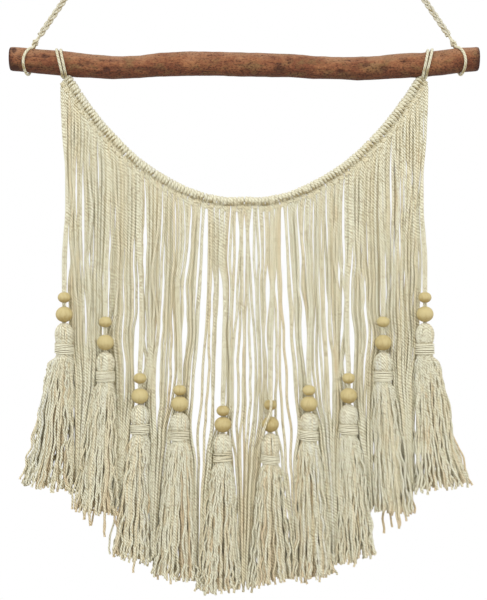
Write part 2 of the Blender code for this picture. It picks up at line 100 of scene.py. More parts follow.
# Heights at which the curtain's slots are given, and the slots between its strands: on which side
# they open (both where 0), at which level they start, and their middle and width from there down
LEVELS = np.array(
    (-449.0, -501.0, -542.0, -572.0, -601.0, -630.0, -659.0, -689.0, -724.0, -765.0, -806.0, -838.0)
)
Slot = namedtuple("Slot", "side level course")
SLOTS = (
    Slot(1, 3, ((0.0, 2.0), (0.0, 1.1))),
    Slot(0, 6, ((3.7, 1.0), (3.7, 0.9))),
    Slot(-1, 5, ((5.7, 0.7), (7.0, 1.3), (8.7, 3.0), (10.3, 3.6), (10.2, 3.2), (13.3, 3.5))),
    Slot(1, 5, ((5.7, 0.7), (7.0, 1.3), (8.7, 2.9), (10.3, 3.3), (9.8, 2.6))),
    Slot(0, 2, ((8.7, 1.8), (7.9, 4.3), (8.5, 2.2), (10.3, 1.7), (11.8, 1.3), (13.6, 0.8))),
    Slot(0, 2, ((15.2, 0.6), (18.1, 1.6), (19.4, 1.2), (17.2, 1.0), (18.0, 1.2), (20.1, 1.0))),
    Slot(-1, 5, ((27.6, 4.0), (27.8, 6.5), (29.1, 7.7), (29.8, 7.8), (31.8, 6.8), (34.4, 1.3))),
    Slot(1, 2, ((22.4, 0.8), (23.5, 0.9), (23.6, 0.8))),
    Slot(1, 5, ((27.4, 3.8), (27.2, 2.3), (25.2, 1.9), (28.7, 1.3), (28.4, 1.3))),
    Slot(0, 5, ((37.4, 2.0), (39.0, 1.5), (39.3, 1.2), (39.5, 0.7), (39.6, 2.8), (40.8, 3.6))),
    Slot(0, 2, ((44.5, 2.9), (45.3, 5.0), (46.1, 5.6), (47.0, 6.0), (48.8, 6.8), (50.5, 5.8), (53.8, 6.5),
                (56.7, 6.7), (60.7, 3.3))),
    Slot(0, 9, ((46.5, 0.9), (50.1, 1.4))),
    Slot(0, 2, ((50.5, 1.4), (52.3, 1.7), (54.0, 2.1), (55.9, 1.3))),
    Slot(0, 7, ((57.5, 0.6), (61.3, 1.6), (63.6, 1.0))),
    Slot(0, 2, ((62.0, 1.3), (63.9, 2.2), (66.1, 3.3), (69.8, 2.4), (69.4, 4.0), (70.0, 5.8), (72.1, 1.7))),
    Slot(0, 5, ((65.3, 1.2),)),
    Slot(0, 2, ((70.5, 0.8), (69.5, 1.0), (71.8, 0.6))),
    Slot(0, 8, ((77.6, 2.5),)),
    Slot(0, 2, ((81.1, 1.2),)),
    Slot(0, 7, ((86.8, 1.2), (88.5, 1.5))),
    Slot(0, 2, ((96.0, 1.2), (97.0, 0.9))),
    Slot(0, 4, ((94.0, 0.8), (94.7, 1.4), (96.7, 2.1), (98.4, 2.9), (101.0, 3.6), (101.9, 3.3),
                (104.1, 0.9))),
    Slot(0, 6, ((102.2, 0.7), (103.5, 1.4))),
    Slot(0, 2, ((115.9, 2.0), (116.3, 2.8), (117.0, 2.0), (117.2, 1.5), (116.5, 1.6), (115.4, 2.6))),
    Slot(0, 4, ((126.2, 0.9), (124.4, 2.2), (123.8, 3.1), (125.5, 6.2), (126.2, 4.8))),
    Slot(0, 4, ((130.0, 0.8), (128.6, 1.1), (128.4, 1.2))),
    Slot(0, 4, ((141.0, 0.5), (142.6, 0.9), (141.7, 0.7), (143.7, 1.1), (140.6, 1.9))),
    Slot(0, 6, ((164.2, 1.1), (166.5, 1.6))),
    Slot(0, 1, ((171.2, 1.0),)),
    Slot(0, 1, ((181.8, 0.7), (181.9, 1.5), (181.2, 0.6), (181.2, 0.8), (181.2, 0.7), (181.2, 0.6))),
    Slot(-1, 6, ((184.6, 0.7), (184.7, 0.9))),
    Slot(0, 1, ((189.4, 1.2), (188.9, 1.9), (189.1, 0.7), (188.5, 0.6), (187.0, 0.8))),
    Slot(0, 1, ((197.0, 0.7), (196.4, 0.8))),
    Slot(0, 1, ((206.8, 0.7),)),
    Slot(0, 4, ((204.6, 0.6),)),
    Slot(0, 0, ((210.4, 0.7),)),
)
CURTAIN_EDGE = table(
    "z half_width",
    (-395.0, 213.0), (-405.0, 215.0), (-425.0, 215.7), (-456.0, 213.6), (-478.0, 211.3), (-519.0, 207.9),
    (-542.0, 207.0), (-560.0, 207.0), (-583.0, 207.8), (-601.0, 208.2), (-636.0, 208.4), (-640.0, 207.0),
    (-655.0, 206.0), (-690.0, 206.0), (-724.0, 207.0), (-1000.0, 208.0),
)
# Hem from the curtain's middle out to either side
CURTAIN_HEM = table(
    "x z",
    (25.0, -969.0), (75.0, -956.0), (122.0, -925.0), (163.0, -872.0), (200.0, -846.0), (214.0, -838.0),
)

# One strand hangs in front of the sixth tassel's beads
CROSSING_LEVEL = 8
CROSSING = table(
    "x y z",
    (31.5, -13.0, -752.0), (31.2, -17.6, -762.0), (31.0, -17.8, -773.0), (29.8, -17.6, -779.0),
    (26.9, -19.0, -787.0), (23.4, -18.0, -795.0), (21.0, -13.5, -806.0), (18.4, -7.0, -816.0),
    (17.0, 1.0, -838.0), (17.0, 4.0, -970.0),
)

# How far out the two outer tassels' skirts reach as they fall
OUTER_SKIRT = table(
    "z reach",
    (-714.0, 223.5), (-722.0, 229.2), (-737.0, 233.0), (-758.0, 236.6), (-779.0, 242.0), (-793.0, 243.8),
    (-807.0, 245.8), (-820.0, 248.0), (-827.0, 252.0), (-835.0, 254.0), (-843.0, 257.5), (-856.0, 263.0),
)

# Strands that stray from a tassel's skirt: where across the hem they start, how much longer they
# are, how far they bow out on the way down, and how far aside they end
Stray = namedtuple("Stray", "tassel across longer bow aside")
STRAYS = [
    Stray(*row)
    for row in (
        (1, -1.0, -5.0, -2.4, -2.5), (1, -0.9, 1.0, -2.0, -2.0), (2, -0.95, 1.0, -3.0, -3.0),
        (2, -0.62, 13.0, 2.0, 3.0), (2, -0.5, 9.0, 2.0, -1.0), (2, -0.3, 12.0, -2.0, 2.0),
        (2, -0.12, 18.0, 2.0, -4.0), (2, 0.22, 29.0, 1.0, 5.0), (2, 0.55, 20.0, -1.0, -5.0),
        (2, 0.85, 15.0, 1.0, 3.0), (3, 0.2, 12.0, 1.0, 0.0), (6, -0.7, 8.0, -2.0, -2.0),
        (8, -0.2, 8.0, 2.0, 1.0), (9, -0.3, 29.0, 1.0, -1.5), (9, -0.1, 19.0, -2.0, 4.0),
        (9, 0.2, 18.0, 2.0, 3.0), (9, 0.4, 14.0, 2.0, -1.0), (9, 0.6, 8.0, -2.0, 2.0),
        (9, 0.95, 1.0, 3.0, 3.0), (10, 0.97, 2.0, 2.6, 2.5),
    )
]


# ---- Settings ----


def settings():
    return bpy.context.scene.hanging


def number_setting(name, description, default, **kind):
    return bpy.props.FloatProperty(name=name, description=description, default=default, **kind)


def length_setting(name, description, default):
    return number_setting(name, description, default, min=0.0, subtype="DISTANCE", unit="LENGTH")


def count_setting(name, description, default):
    return bpy.props.IntProperty(name=name, description=description, default=default, min=1)


def colour_setting(name, description, default):
    return bpy.props.FloatVectorProperty(
        name=name, description=description, default=default, min=0.0, max=1.0, size=3, subtype="COLOR"
    )


class CordSettings(bpy.types.PropertyGroup):
    """Cotton cord: its thickness, twist and colours"""

    strand: length_setting("Strand", "Thickness of the curtain's cord", 3.2 * MM)
    knotted: length_setting("Knotted", "Thickness of the same cord pulled tight in a knot", 3.05 * MM)
    tassel_strand: length_setting("Tassel strand", "Thickness of the tassels' strands", 2.75 * MM)
    carrier: length_setting("Carrier", "Thickness of the header's holding cord", 3.3 * MM)
    twist: length_setting("Twist", "Length of cord in which its plies turn once", 11.5 * MM)
    plies: count_setting("Plies", "Yarns twisted into one cord", 3)
    cool: colour_setting("Cool", "Coolest tone of the undyed cotton", (0.93, 0.94, 0.84))
    ivory: colour_setting("Ivory", "Pale tone of the undyed cotton", (0.958, 0.946, 0.755))
    straw: colour_setting("Straw", "Warm tone of the undyed cotton", (0.955, 0.888, 0.65))
    tan: colour_setting("Tan", "Cotton that has kept its brown husk", (0.87, 0.71, 0.47))
    # Shade: painted shade in the grooves between plies, on faces turned up or down and in pockets under
    # wraps; it also marks lint and darkens some cords overall
    shade: colour_setting("Shade", "Cotton in the grooves between plies", (0.40, 0.32, 0.155))


class BranchSettings(bpy.types.PropertyGroup):
    """Bark-stripped branch"""

    rings: count_setting("Rings", "Divisions along the branch", 360)
    sides: count_setting("Sides", "Divisions around the branch", 64)
    # Light wood: the raised wood's own colour, also laid on the branch's top as painted light
    light: colour_setting("Light wood", "Raised, worn wood", (0.40, 0.17, 0.068))
    red: colour_setting("Red wood", "Main colour", (0.20, 0.062, 0.025))
    olive: colour_setting("Olive wood", "Patches where the inner bark has stayed", (0.22, 0.14, 0.052))
    # Dark wood: streaks, knots and ends, also laid on the branch's underside as painted shade
    dark: colour_setting("Dark wood", "Streaks and hollows", (0.062, 0.018, 0.007))
    # The weathered grey is a painted sheen laid along the branch's top
    sheen_grey: colour_setting("Weathered wood", "Greyish bloom along the top", (0.38, 0.24, 0.15))


class BeadSettings(bpy.types.PropertyGroup):
    """Turned wood beads"""

    around: count_setting("Around", "Divisions around a bead", 40)
    rings: count_setting("Rings", "Divisions from hole to hole", 20)
    pale: colour_setting("Pale wood", "Main colour", (0.60, 0.50, 0.245))
    # Grain: also laid on the beads' lower sides as painted shade
    grain: colour_setting("Grain", "Colour of the grain lines", (0.42, 0.31, 0.12))


class TasselSettings(bpy.types.PropertyGroup):
    """Tassels of folded strands"""

    outer: count_setting("Outer strands", "Strands that fold over the head", 38)
    middle: count_setting("Middle strands", "Strands just behind the outer ones", 24)
    inner: count_setting("Inner bundles", "Thick bundles that fill the skirt", 8)
    turns: count_setting("Turns", "Turns of the binding", 6)
    unrest: length_setting("Unrest", "How far a skirt's strand wanders aside", 1.3 * MM)
    crimp: length_setting("Crimp", "How far a skirt's strand wriggles", 2.1 * MM)


class StageSettings(bpy.types.PropertyGroup):
    """Camera, light and floor"""

    lens: number_setting("Lens", "Focal length", 85.0, unit="CAMERA")
    view_height: length_setting("View height", "Height of what the camera takes in", 0.702)
    view_x: number_setting("View X", "Middle of the view", -0.001, unit="LENGTH")
    view_z: number_setting("View Z", "Height of the view's middle", -0.6476, unit="LENGTH")
    daylight: number_setting("Daylight", "Strength of the even white light", 1.0, min=0.0, subtype="FACTOR")
    key: number_setting("Key", "Power of the main lamp", 13.0, unit="POWER")
    fill: number_setting("Fill", "Power of the second lamp", 6.5, unit="POWER")
    floor: colour_setting("Floor", "Colour of the floor", (0.6, 0.59, 0.57))
    below: colour_setting("Below", "Light from under the horizon", (0.55, 0.54, 0.52))


class HangingSettings(bpy.types.PropertyGroup):
    """All sizes and colours of the hanging"""

    cord: bpy.props.PointerProperty(type=CordSettings)
    branch: bpy.props.PointerProperty(type=BranchSettings)
    bead: bpy.props.PointerProperty(type=BeadSettings)
    tassel: bpy.props.PointerProperty(type=TasselSettings)
    stage: bpy.props.PointerProperty(type=StageSettings)


# ---- Shader recipes ----


class Value:
    """One number over a surface; arithmetic on it adds Math nodes."""

    def __init__(self, recipe, socket):
        self.recipe = recipe
        self.socket = socket

    def math(self, operation, *values):
        node = self.recipe.add("ShaderNodeMath", {"operation": operation}, dict(enumerate(values)))
        return Value(self.recipe, node.outputs[0])

    def __add__(self, other):
        return self.math("ADD", self, other)

    def __radd__(self, other):
        return self.math("ADD", other, self)

    def __sub__(self, other):
        return self.math("SUBTRACT", self, other)

    def __rsub__(self, other):
        return self.math("SUBTRACT", other, self)

    def __mul__(self, other):
        return self.math("MULTIPLY", self, other)

    def __rmul__(self, other):
        return self.math("MULTIPLY", other, self)

    def __pow__(self, other):
        return self.math("POWER", self, other)

    def fraction(self):
        return self.math("FRACT", self)

    def absolute(self):
        return self.math("ABSOLUTE", self)

    def between(self, low, high):
        """0 below low, 1 above high, and a smooth ramp between."""
        inputs = {"Value": self, "From Min": low, "From Max": high}
        node = self.recipe.add("ShaderNodeMapRange", {"interpolation_type": "SMOOTHSTEP"}, inputs)
        return Value(self.recipe, node.outputs[0])


# One noise over a surface: how it is squeezed along X, Y and Z, and how fine, busy and warped it is
Grain = namedtuple("Grain", "squeeze scale detail roughness distortion", defaults=(0.5, 0.0))


class Nodes:
    """Adds nodes to a tree."""

    def __init__(self, tree):
        self.tree = tree

    def feed(self, socket, value):
        if isinstance(value, Value):
            value = value.socket
        if isinstance(value, bpy.types.NodeSocket):
            self.tree.links.new(value, socket)
        elif socket.type == "RGBA":
            socket.default_value = (*value, 1.0)
        else:
            socket.default_value = value

    def add(self, kind, options=None, inputs=None):
        node = self.tree.nodes.new(kind)
        for option, value in (options or {}).items():
            setattr(node, option, value)
        for socket, value in (inputs or {}).items():
            self.feed(node.inputs[socket], value)
        return node

    def parts(self, vector):
        node = self.add("ShaderNodeSeparateXYZ", None, {0: vector})
        return [Value(self, socket) for socket in node.outputs]


class Recipe(Nodes):
    """A material on one Principled shader, built from nodes."""

    def __init__(self, name, roughness, **constants):
        self.material = bpy.data.materials.new(name)
        self.material.use_nodes = True
        super().__init__(self.material.node_tree)
        self.shader = self.tree.nodes["Principled BSDF"]
        self.shader.inputs["Roughness"].default_value = roughness
        for socket, value in constants.items():
            self.shader.inputs[socket.replace("_", " ")].default_value = value

    def attribute(self, name):
        node = self.add("ShaderNodeAttribute", {"attribute_name": name})
        return Value(self, node.outputs["Fac"])

    def upward(self):
        """1 where the surface faces up, -1 where it faces down."""
        return self.parts(self.add("ShaderNodeNewGeometry").outputs["Normal"])[2]

    def grains(self, **recipes):
        """The noise of each Grain, under its name."""
        return SimpleNamespace(**{name: self.noise(grain) for name, grain in recipes.items()})

    def noise(self, grain):
        place = self.add("ShaderNodeTexCoord").outputs["Object"]
        squeezed = self.add("ShaderNodeVectorMath", {"operation": "MULTIPLY"}, {0: place, 1: grain.squeeze})
        inputs = {
            "Vector": squeezed.outputs[0],
            "Scale": grain.scale,
            "Detail": grain.detail,
            "Roughness": grain.roughness,
            "Distortion": grain.distortion,
        }
        return Value(self, self.add("ShaderNodeTexNoise", None, inputs).outputs[0])

    def blend(self, share, first, second):
        """A colour between two colours."""
        options = {"data_type": "RGBA", "blend_type": "MIX", "clamp_factor": True}
        return self.add("ShaderNodeMix", options, {0: share, 6: first, 7: second}).outputs[2]

    def finish(self, colour, roughness=None, height=None, depth=0.0):
        """Feeds what varies over the surface into the shader."""
        self.feed(self.shader.inputs["Base Color"], colour)
        if roughness is not None:
            self.feed(self.shader.inputs["Roughness"], roughness)
        if height is not None:
            bump = self.add("ShaderNodeBump", None, {"Height": height, "Distance": depth, "Strength": 1.0})
            self.feed(self.shader.inputs["Normal"], bump.outputs[0])
        return self.material


TWIST_UV = "twist"
TONE = "tone"
WORN = "worn"
EVEN = (1, 1, 1)

# How each cord looks: its twist's length and depth against the curtain's cord (the depth also sets the
# painted shade in its grooves), how much darker it is overall, and how much painted shade it gets where it
# faces up or down and in pockets under it
CordStyle = namedtuple("CordStyle", "twist_share twist_depth darker edged under", defaults=(0.0, 0.0))
CORD_STYLES = {
    "hanger": CordStyle(0.6, 0.45, 0.37, under=0.8),
    "tie": CordStyle(1.0, 0.35, 0.36, under=0.8),
    "header": CordStyle(0.75, 0.34, 0.27, under=0.6),
    "curtain": CordStyle(0.97, 0.82, 0.07),
    "bead_cord": CordStyle(0.97, 0.82, 0.07),
    "tassel": CordStyle(0.92, 0.86, 0.0),
    "binding": CordStyle(0.8, 0.3, 0.1, edged=1.0),
}
COTTON_GRAINS = {
    "uneven": Grain(EVEN, 85.0, 2.0),
    "fibres": Grain(EVEN, 1500.0, 3.0, 0.6),
    "lint": Grain(EVEN, 320.0, 2.0),
    "nub": Grain((1, 1, 0.6), 300.0, 2.0, 0.6),
    "blotch": Grain((1, 1, 0.35), 45.0, 2.0),
    "husk": Grain((1, 1, 0.16), 75.0, 3.0, 0.6),
}
# Breaks the painted shade under the wraps into patches
POCKET_SHADE_GRAIN = Grain(EVEN, 120.0, 1.0)
COTTON_BUMP = 0.7 * MM


def cord_finish(kind):
    """Undyed plied cotton: uneven plies, nubs and lint, cool or warm tone from strand to strand, and painted
    shade in its grooves.
    """
    cord = settings().cord
    style = CORD_STYLES[kind]
    recipe = Recipe(f"{kind}_cotton", 0.92, Sheen_Weight=0.2, Sheen_Roughness=0.6, Specular_IOR_Level=0.15)
    uv = recipe.add("ShaderNodeUVMap", {"uv_map": TWIST_UV})
    around, along, _ = recipe.parts(uv.outputs[0])
    grain = recipe.grains(**COTTON_GRAINS)

    turns = CM / (cord.twist * style.twist_share)
    phase = around * cord.plies + along * (turns * cord.plies) + grain.uneven * 0.8
    groove = (phase.fraction() - 0.5).absolute() * 2.0
    ridge = 1.0 - groove ** 2.0

    tone = recipe.attribute(TONE) + (grain.blotch - 0.5) * 1.3 + grain.husk.between(0.6, 0.72) * 0.7
    cotton = recipe.blend(tone.between(-1.0, -0.3), cord.cool, cord.ivory)
    cotton = recipe.blend(tone.between(-0.1, 0.9), cotton, cord.straw)
    cotton = recipe.blend(tone.between(0.8, 1.7), cotton, cord.tan)

    # Painted shade: the grooves between plies darkened towards the shade colour, with lint specks and each
    # style's overall darkening
    painted_shade_and_lint = groove.between(0.38, 0.95) * (grain.nub.between(0.32, 0.6) * 0.4 + 0.6) * style.twist_depth
    painted_shade_and_lint = painted_shade_and_lint + (grain.lint - 0.5).between(0.0, 0.15) * (0.48 * style.twist_depth) + style.darker
    # Painted shade on faces turned up or down, where a binding's turns meet, and in patches under the cord
    # where it faces down
    if style.edged or style.under:
        upward = recipe.upward()
        pocket_shade = recipe.noise(POCKET_SHADE_GRAIN).between(0.38, 0.62) * (-0.15 - upward).between(0.0, 0.5)
        painted_shade_and_lint = painted_shade_and_lint + upward.absolute().between(0.45, 0.95) * style.edged + pocket_shade * style.under
    colour = recipe.blend(painted_shade_and_lint.between(-0.1, 1.1), cotton, cord.shade)
    height = ridge * (1.1 * style.twist_depth) + grain.fibres * 0.3 + grain.lint * 0.5 + grain.nub * 0.5
    return recipe.finish(colour, height=height, depth=COTTON_BUMP)


BRANCH_GRAINS = {
    "streak": Grain((9, 75, 75), 1.6, 6.0, 0.68, 0.4),
    "fine": Grain((40, 330, 330), 1.7, 4.0, 0.7),
    "patch": Grain((22, 32, 32), 1.4, 3.0, 0.6, 0.8),
    "fleck": Grain((60, 190, 190), 2.2, 3.0, 0.6),
    "speck": Grain((170, 260, 260), 1.6, 3.0, 0.65),
    "grit": Grain((380, 620, 620), 1.0, 2.0, 0.6),
    "moss": Grain((38, 75, 75), 1.3, 3.0, 0.6, 0.4),
}
BRANCH_BUMP = 1.6 * MM


def branch_finish():
    """Bark-stripped reddish wood: fibrous streaks, dark flecks and knots, with painted light and a painted
    pale sheen on its top, and painted shade on its underside.
    """
    wood = settings().branch
    recipe = Recipe("branch_wood", 0.6, Specular_IOR_Level=0.3)
    grain = recipe.grains(**BRANCH_GRAINS)
    streak, fine, patch, speck = grain.streak, grain.fine, grain.patch, grain.speck
    upward = recipe.upward()
    worn = recipe.attribute(WORN)

    # Lighter where the surface faces up: the raised grain is the wood's own, the lift on the top is painted
    # light
    light = (patch * 0.6 + streak * 0.55 + speck * 0.5 + upward * 0.12).between(0.68, 1.08)
    colour = recipe.blend(light, wood.red, wood.light)
    colour = recipe.blend(grain.moss.between(0.46, 0.7) * 0.6, colour, wood.olive)
    # Painted sheen: a pale grey laid along the top, where the light falls
    sheen = (upward * 0.5 + patch * 0.7 + fine * 0.5).between(0.62, 1.3) * 0.55
    colour = recipe.blend(sheen, colour, wood.sheen_grey)

    shadow = (0.5 - streak).between(0.02, 0.2) * 0.4 + (0.46 - grain.fleck).between(0.0, 0.14) * 0.25
    shadow = shadow + (0.5 - fine).between(0.02, 0.25) * 0.4 + (0.5 - speck).between(0.03, 0.25) * 0.25
    shadow = shadow + (0.5 - grain.grit).between(0.0, 0.14) * 0.62 - 0.08
    # Painted shade: darker where the surface faces down
    under = (0.15 - upward).between(0.0, 1.0) * 0.5
    colour = recipe.blend((shadow + worn + under).between(0.0, 1.2), colour, wood.dark)
    height = streak * 0.7 + fine * 0.6 + grain.fleck * 0.35 + speck * 0.4 + grain.grit * 0.6 - worn * 0.5
    return recipe.finish(colour, 0.5 + fine * 0.25, height, BRANCH_BUMP)


BEAD_GRAIN = Grain((420, 420, 50), 1.0, 4.0, 0.6, 0.5)
BEAD_CLOUD = Grain(EVEN, 90.0, 3.0)
BEAD_BUMP = 0.08 * MM


def bead_finish():
    """Pale turned wood with faint grain running through from hole to hole, and painted shade on its lower
    side.
    """
    bead = settings().bead
    recipe = Recipe("bead_wood", 0.5, Specular_IOR_Level=0.3)
    grain = recipe.noise(BEAD_GRAIN)
    cloud = recipe.noise(BEAD_CLOUD)
    share = (grain - 0.42).between(0.0, 0.28) * 0.5 + (cloud - 0.5) * 0.6 + recipe.attribute(TONE)
    # Painted shade: darker where the surface faces down
    share = share + (0.1 - recipe.upward()).between(0.0, 0.9) * 0.7
    colour = recipe.blend(share.between(0.0, 1.2), bead.pale, bead.grain)
    return recipe.finish(colour, 0.48 + grain * 0.12, grain, BEAD_BUMP)


FLOOR_CLOUD = Grain(EVEN, 3.0, 2.0)
FLOOR_SHADE = 0.96


def floor_finish():
    recipe = Recipe("floor_paint", 0.8)
    pale = settings().stage.floor
    shaded = [FLOOR_SHADE * part for part in pale]
    return recipe.finish(recipe.blend(recipe.noise(FLOOR_CLOUD), pale, shaded))


# ---- Geometry helpers ----

TINY = 1e-12
CORD_SHARP = 65
WOOD_SHARP = 60
BEAD_SHARP = 50


def unit(vectors):
    return vectors / np.maximum(np.linalg.norm(vectors, axis=-1, keepdims=True), TINY)


def across(vectors, direction):
    """The part of each vector that is square to its direction."""
    return vectors - (vectors * direction).sum(-1, keepdims=True) * direction


def ramp(values):
    """The values held between 0 and 1."""
    return np.clip(values, 0, 1)


def mix(first, second, share):
    return first * (1 - share) + second * share


def through(places, values, at, settled=False):
    """Smooth values at `at` through (place, value) points; where settled, they never swing past them."""
    places, values = np.asarray(places, float), np.asarray(values, float)
    slope = np.gradient(values, places)
    if settled:
        step = np.diff(values) / np.diff(places)
        before, after = step[:-1], step[1:]
        total = np.where(before * after > 0, before + after, 1.0)
        slope[1:-1] = np.where(before * after > 0, 2 * before * after / total, 0.0)
    i = np.clip(np.searchsorted(places, at) - 1, 0, len(places) - 2)
    span = places[i + 1] - places[i]
    t = ramp((at - places[i]) / span)
    return (
        (2 * t**3 - 3 * t**2 + 1) * values[i]
        + (t**3 - 2 * t**2 + t) * span * slope[i]
        + (3 * t**2 - 2 * t**3) * values[i + 1]
        + (t**3 - t**2) * span * slope[i + 1]
    )


def run_length(path):
    """How far along the path each of its points lies."""
    return np.concatenate([[0], np.cumsum(np.linalg.norm(np.diff(path, axis=0), axis=1))])


def on_path(path, length, at):
    """The points that far along a path of straight steps."""
    return np.stack([np.interp(at, length, column) for column in path.T], axis=1)


def smooth_path(points, step):
    """Points about `step` apart on a smooth curve through the given points."""
    points = np.asarray(points, float)
    length = run_length(points)
    at = np.linspace(0, length[-1], max(2, ceil(length[-1] / step) + 1))
    return np.stack([through(length, column, at) for column in points.T], axis=1)


def wander(rng, count, at, size, waves):
    """Smooth sideways drift for `count` strands at the shares `at` of their length."""
    drift = np.zeros((count, len(at)))
    for wave in waves:
        phase = rng.uniform(0, FULL_TURN, (count, 1))
        pace = wave * rng.uniform(0.75, 1.25, (count, 1))
        drift += rng.normal(0, 1, (count, 1)) * np.sin(phase + FULL_TURN * pace * at) / wave**0.5
    return drift * size / len(waves) ** 0.5


class CordMesh:
    """Gathers round cords into one mesh with twist coordinates and a tone for each cord."""

    def __init__(self):
        self.points, self.tones = [], []
        self.corners, self.uvs, self.sizes = [], [], []
        self.count = 0

    def add(self, paths, radius, sides, tone=0.0, twist_start=0.0):
        """Adds (cords, points, 3) paths, or one (points, 3) path, as closed tubes."""
        paths = np.asarray(paths, float)
        if paths.ndim == 2:
            paths = paths[None]
        cords, steps, _ = paths.shape
        radius = np.broadcast_to(np.asarray(radius, float), (cords, steps))
        tone = np.asarray(tone, float)
        tone = np.broadcast_to(tone if tone.ndim == 2 else tone.reshape(-1, 1), (cords, steps))
        tangent = unit(np.gradient(paths, axis=1))
        guide = np.where(np.abs(tangent[:, :1, 1:2]) < 0.8, DEPTH, UP)
        side = np.empty_like(paths)
        side[:, 0] = unit(across(guide[:, 0], tangent[:, 0]))
        for i in range(1, steps):
            side[:, i] = unit(across(side[:, i - 1], tangent[:, i]))
        other = np.cross(tangent, side)
        turn = FULL_TURN * np.arange(sides) / sides
        ring = np.cos(turn)[:, None] * side[:, :, None] + np.sin(turn)[:, None] * other[:, :, None]
        self.points.append((paths[:, :, None] + radius[:, :, None, None] * ring).reshape(-1, 3))
        self.tones.append(np.repeat(tone, sides, axis=1).ravel())

        index = self.count + np.arange(cords * steps * sides).reshape(cords, steps, sides)
        after = np.roll(index, -1, axis=2)
        length = np.linalg.norm(np.diff(paths, axis=1), axis=2)
        length = np.concatenate([np.zeros((cords, 1)), np.cumsum(length, axis=1)], axis=1) / CM
        length = length + np.asarray(twist_start, float).reshape(-1, 1)
        left = np.arange(sides) / sides
        u = np.stack([left, left + 1 / sides, left + 1 / sides, left], axis=-1)
        low, high = length[:, :-1, None], length[:, 1:, None]
        v = np.stack([low, low, high, high], axis=-1)
        quads = np.stack([index[:, :-1], after[:, :-1], after[:, 1:], index[:, 1:]], axis=-1)
        self.add_faces(quads, u, v, 4)
        for end, order in ((0, -1), (steps - 1, 1)):
            self.add_faces(index[:, end, ::order], left[::order], length[:, end, None], sides)
        self.count += cords * steps * sides

    def add_faces(self, corners, u, v, size):
        """Adds faces of `size` corners each, with the twist coordinates of every corner."""
        self.corners.append(corners.ravel())
        self.sizes.append(np.full(corners.size // size, size))
        spread = [np.broadcast_to(values, corners.shape) for values in (u, v)]
        self.uvs.append(np.stack(spread, axis=-1).reshape(-1, 2))

    def piece(self, name, material, slot, *nodes):
        """Makes the piece, which rides on the body and stands for the nodes."""
        points, corners = np.concatenate(self.points), np.concatenate(self.corners)
        sizes, uvs = np.concatenate(self.sizes), np.concatenate(self.uvs)
        starts = np.concatenate([[0], np.cumsum(sizes)[:-1]])
        mesh = bpy.data.meshes.new(name)
        mesh.vertices.add(len(points))
        mesh.vertices.foreach_set("co", points.ravel())
        mesh.loops.add(len(corners))
        mesh.loops.foreach_set("vertex_index", corners.astype(np.int32))
        mesh.polygons.add(len(sizes))
        mesh.polygons.foreach_set("loop_start", starts.astype(np.int32))
        mesh.update(calc_edges=True)
        mesh.uv_layers.new(name=TWIST_UV).data.foreach_set("uv", uvs.ravel())
        mesh.attributes.new(TONE, "FLOAT", "POINT").data.foreach_set("value", np.concatenate(self.tones))
        smooth(mesh, CORD_SHARP)
        mesh.validate()
        place_piece(name, mesh, material, slot, *nodes)


def smooth(mesh, degrees):
    """Shades the mesh smooth, but for edges that bend by more than the angle."""
    mesh.shade_smooth()
    mesh.set_sharp_from_angle(angle=radians(degrees))


def mesh_data(name, mesh, degrees):
    """Turns an edited mesh into smooth-shaded data that faces out."""
    bmesh.ops.recalc_face_normals(mesh, faces=mesh.faces)
    data = bpy.data.meshes.new(name)
    mesh.to_mesh(data)
    mesh.free()
    smooth(data, degrees)
    return data


def place_piece(name, mesh, material, slot, *nodes):
    piece = bpy.data.objects.new(name, mesh)
    bpy.context.scene.collection.objects.link(piece)
    mesh.materials.append(material)
    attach(piece, ROOT)
    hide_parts(*nodes)


def node_points(node):
    return np.array([vertex.co for vertex in NODES[node].data.vertices], float)


def node_middle(node):
    low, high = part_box(node)
    return (low + high) / 2


def node_half(node):
    """Half the node's size along each axis."""
    low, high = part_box(node)
    return (high - low) / 2


# ---- Branch ----

PLACE_DIGITS = 5
RING_SLACK = 0.02 * MM


def branch_stations():
    """x, z and radius of the branch's axis, from the rings of its solid."""
    points = node_points("branch")
    stations = []
    for x in np.unique(np.round(points[:, 0], PLACE_DIGITS)):
        ring = points[np.abs(points[:, 0] - x) < RING_SLACK]
        stations.append((x, (ring[:, 2].min() + ring[:, 2].max()) / 2, ring[:, 1].max()))
    return np.array(stations).T


BRANCH_X, BRANCH_Z, BRANCH_RADIUS = branch_stations()


def branch_at(x):
    """(z, radius) of the branch at x."""
    return np.interp(x, BRANCH_X, BRANCH_Z), np.interp(x, BRANCH_X, BRANCH_RADIUS)


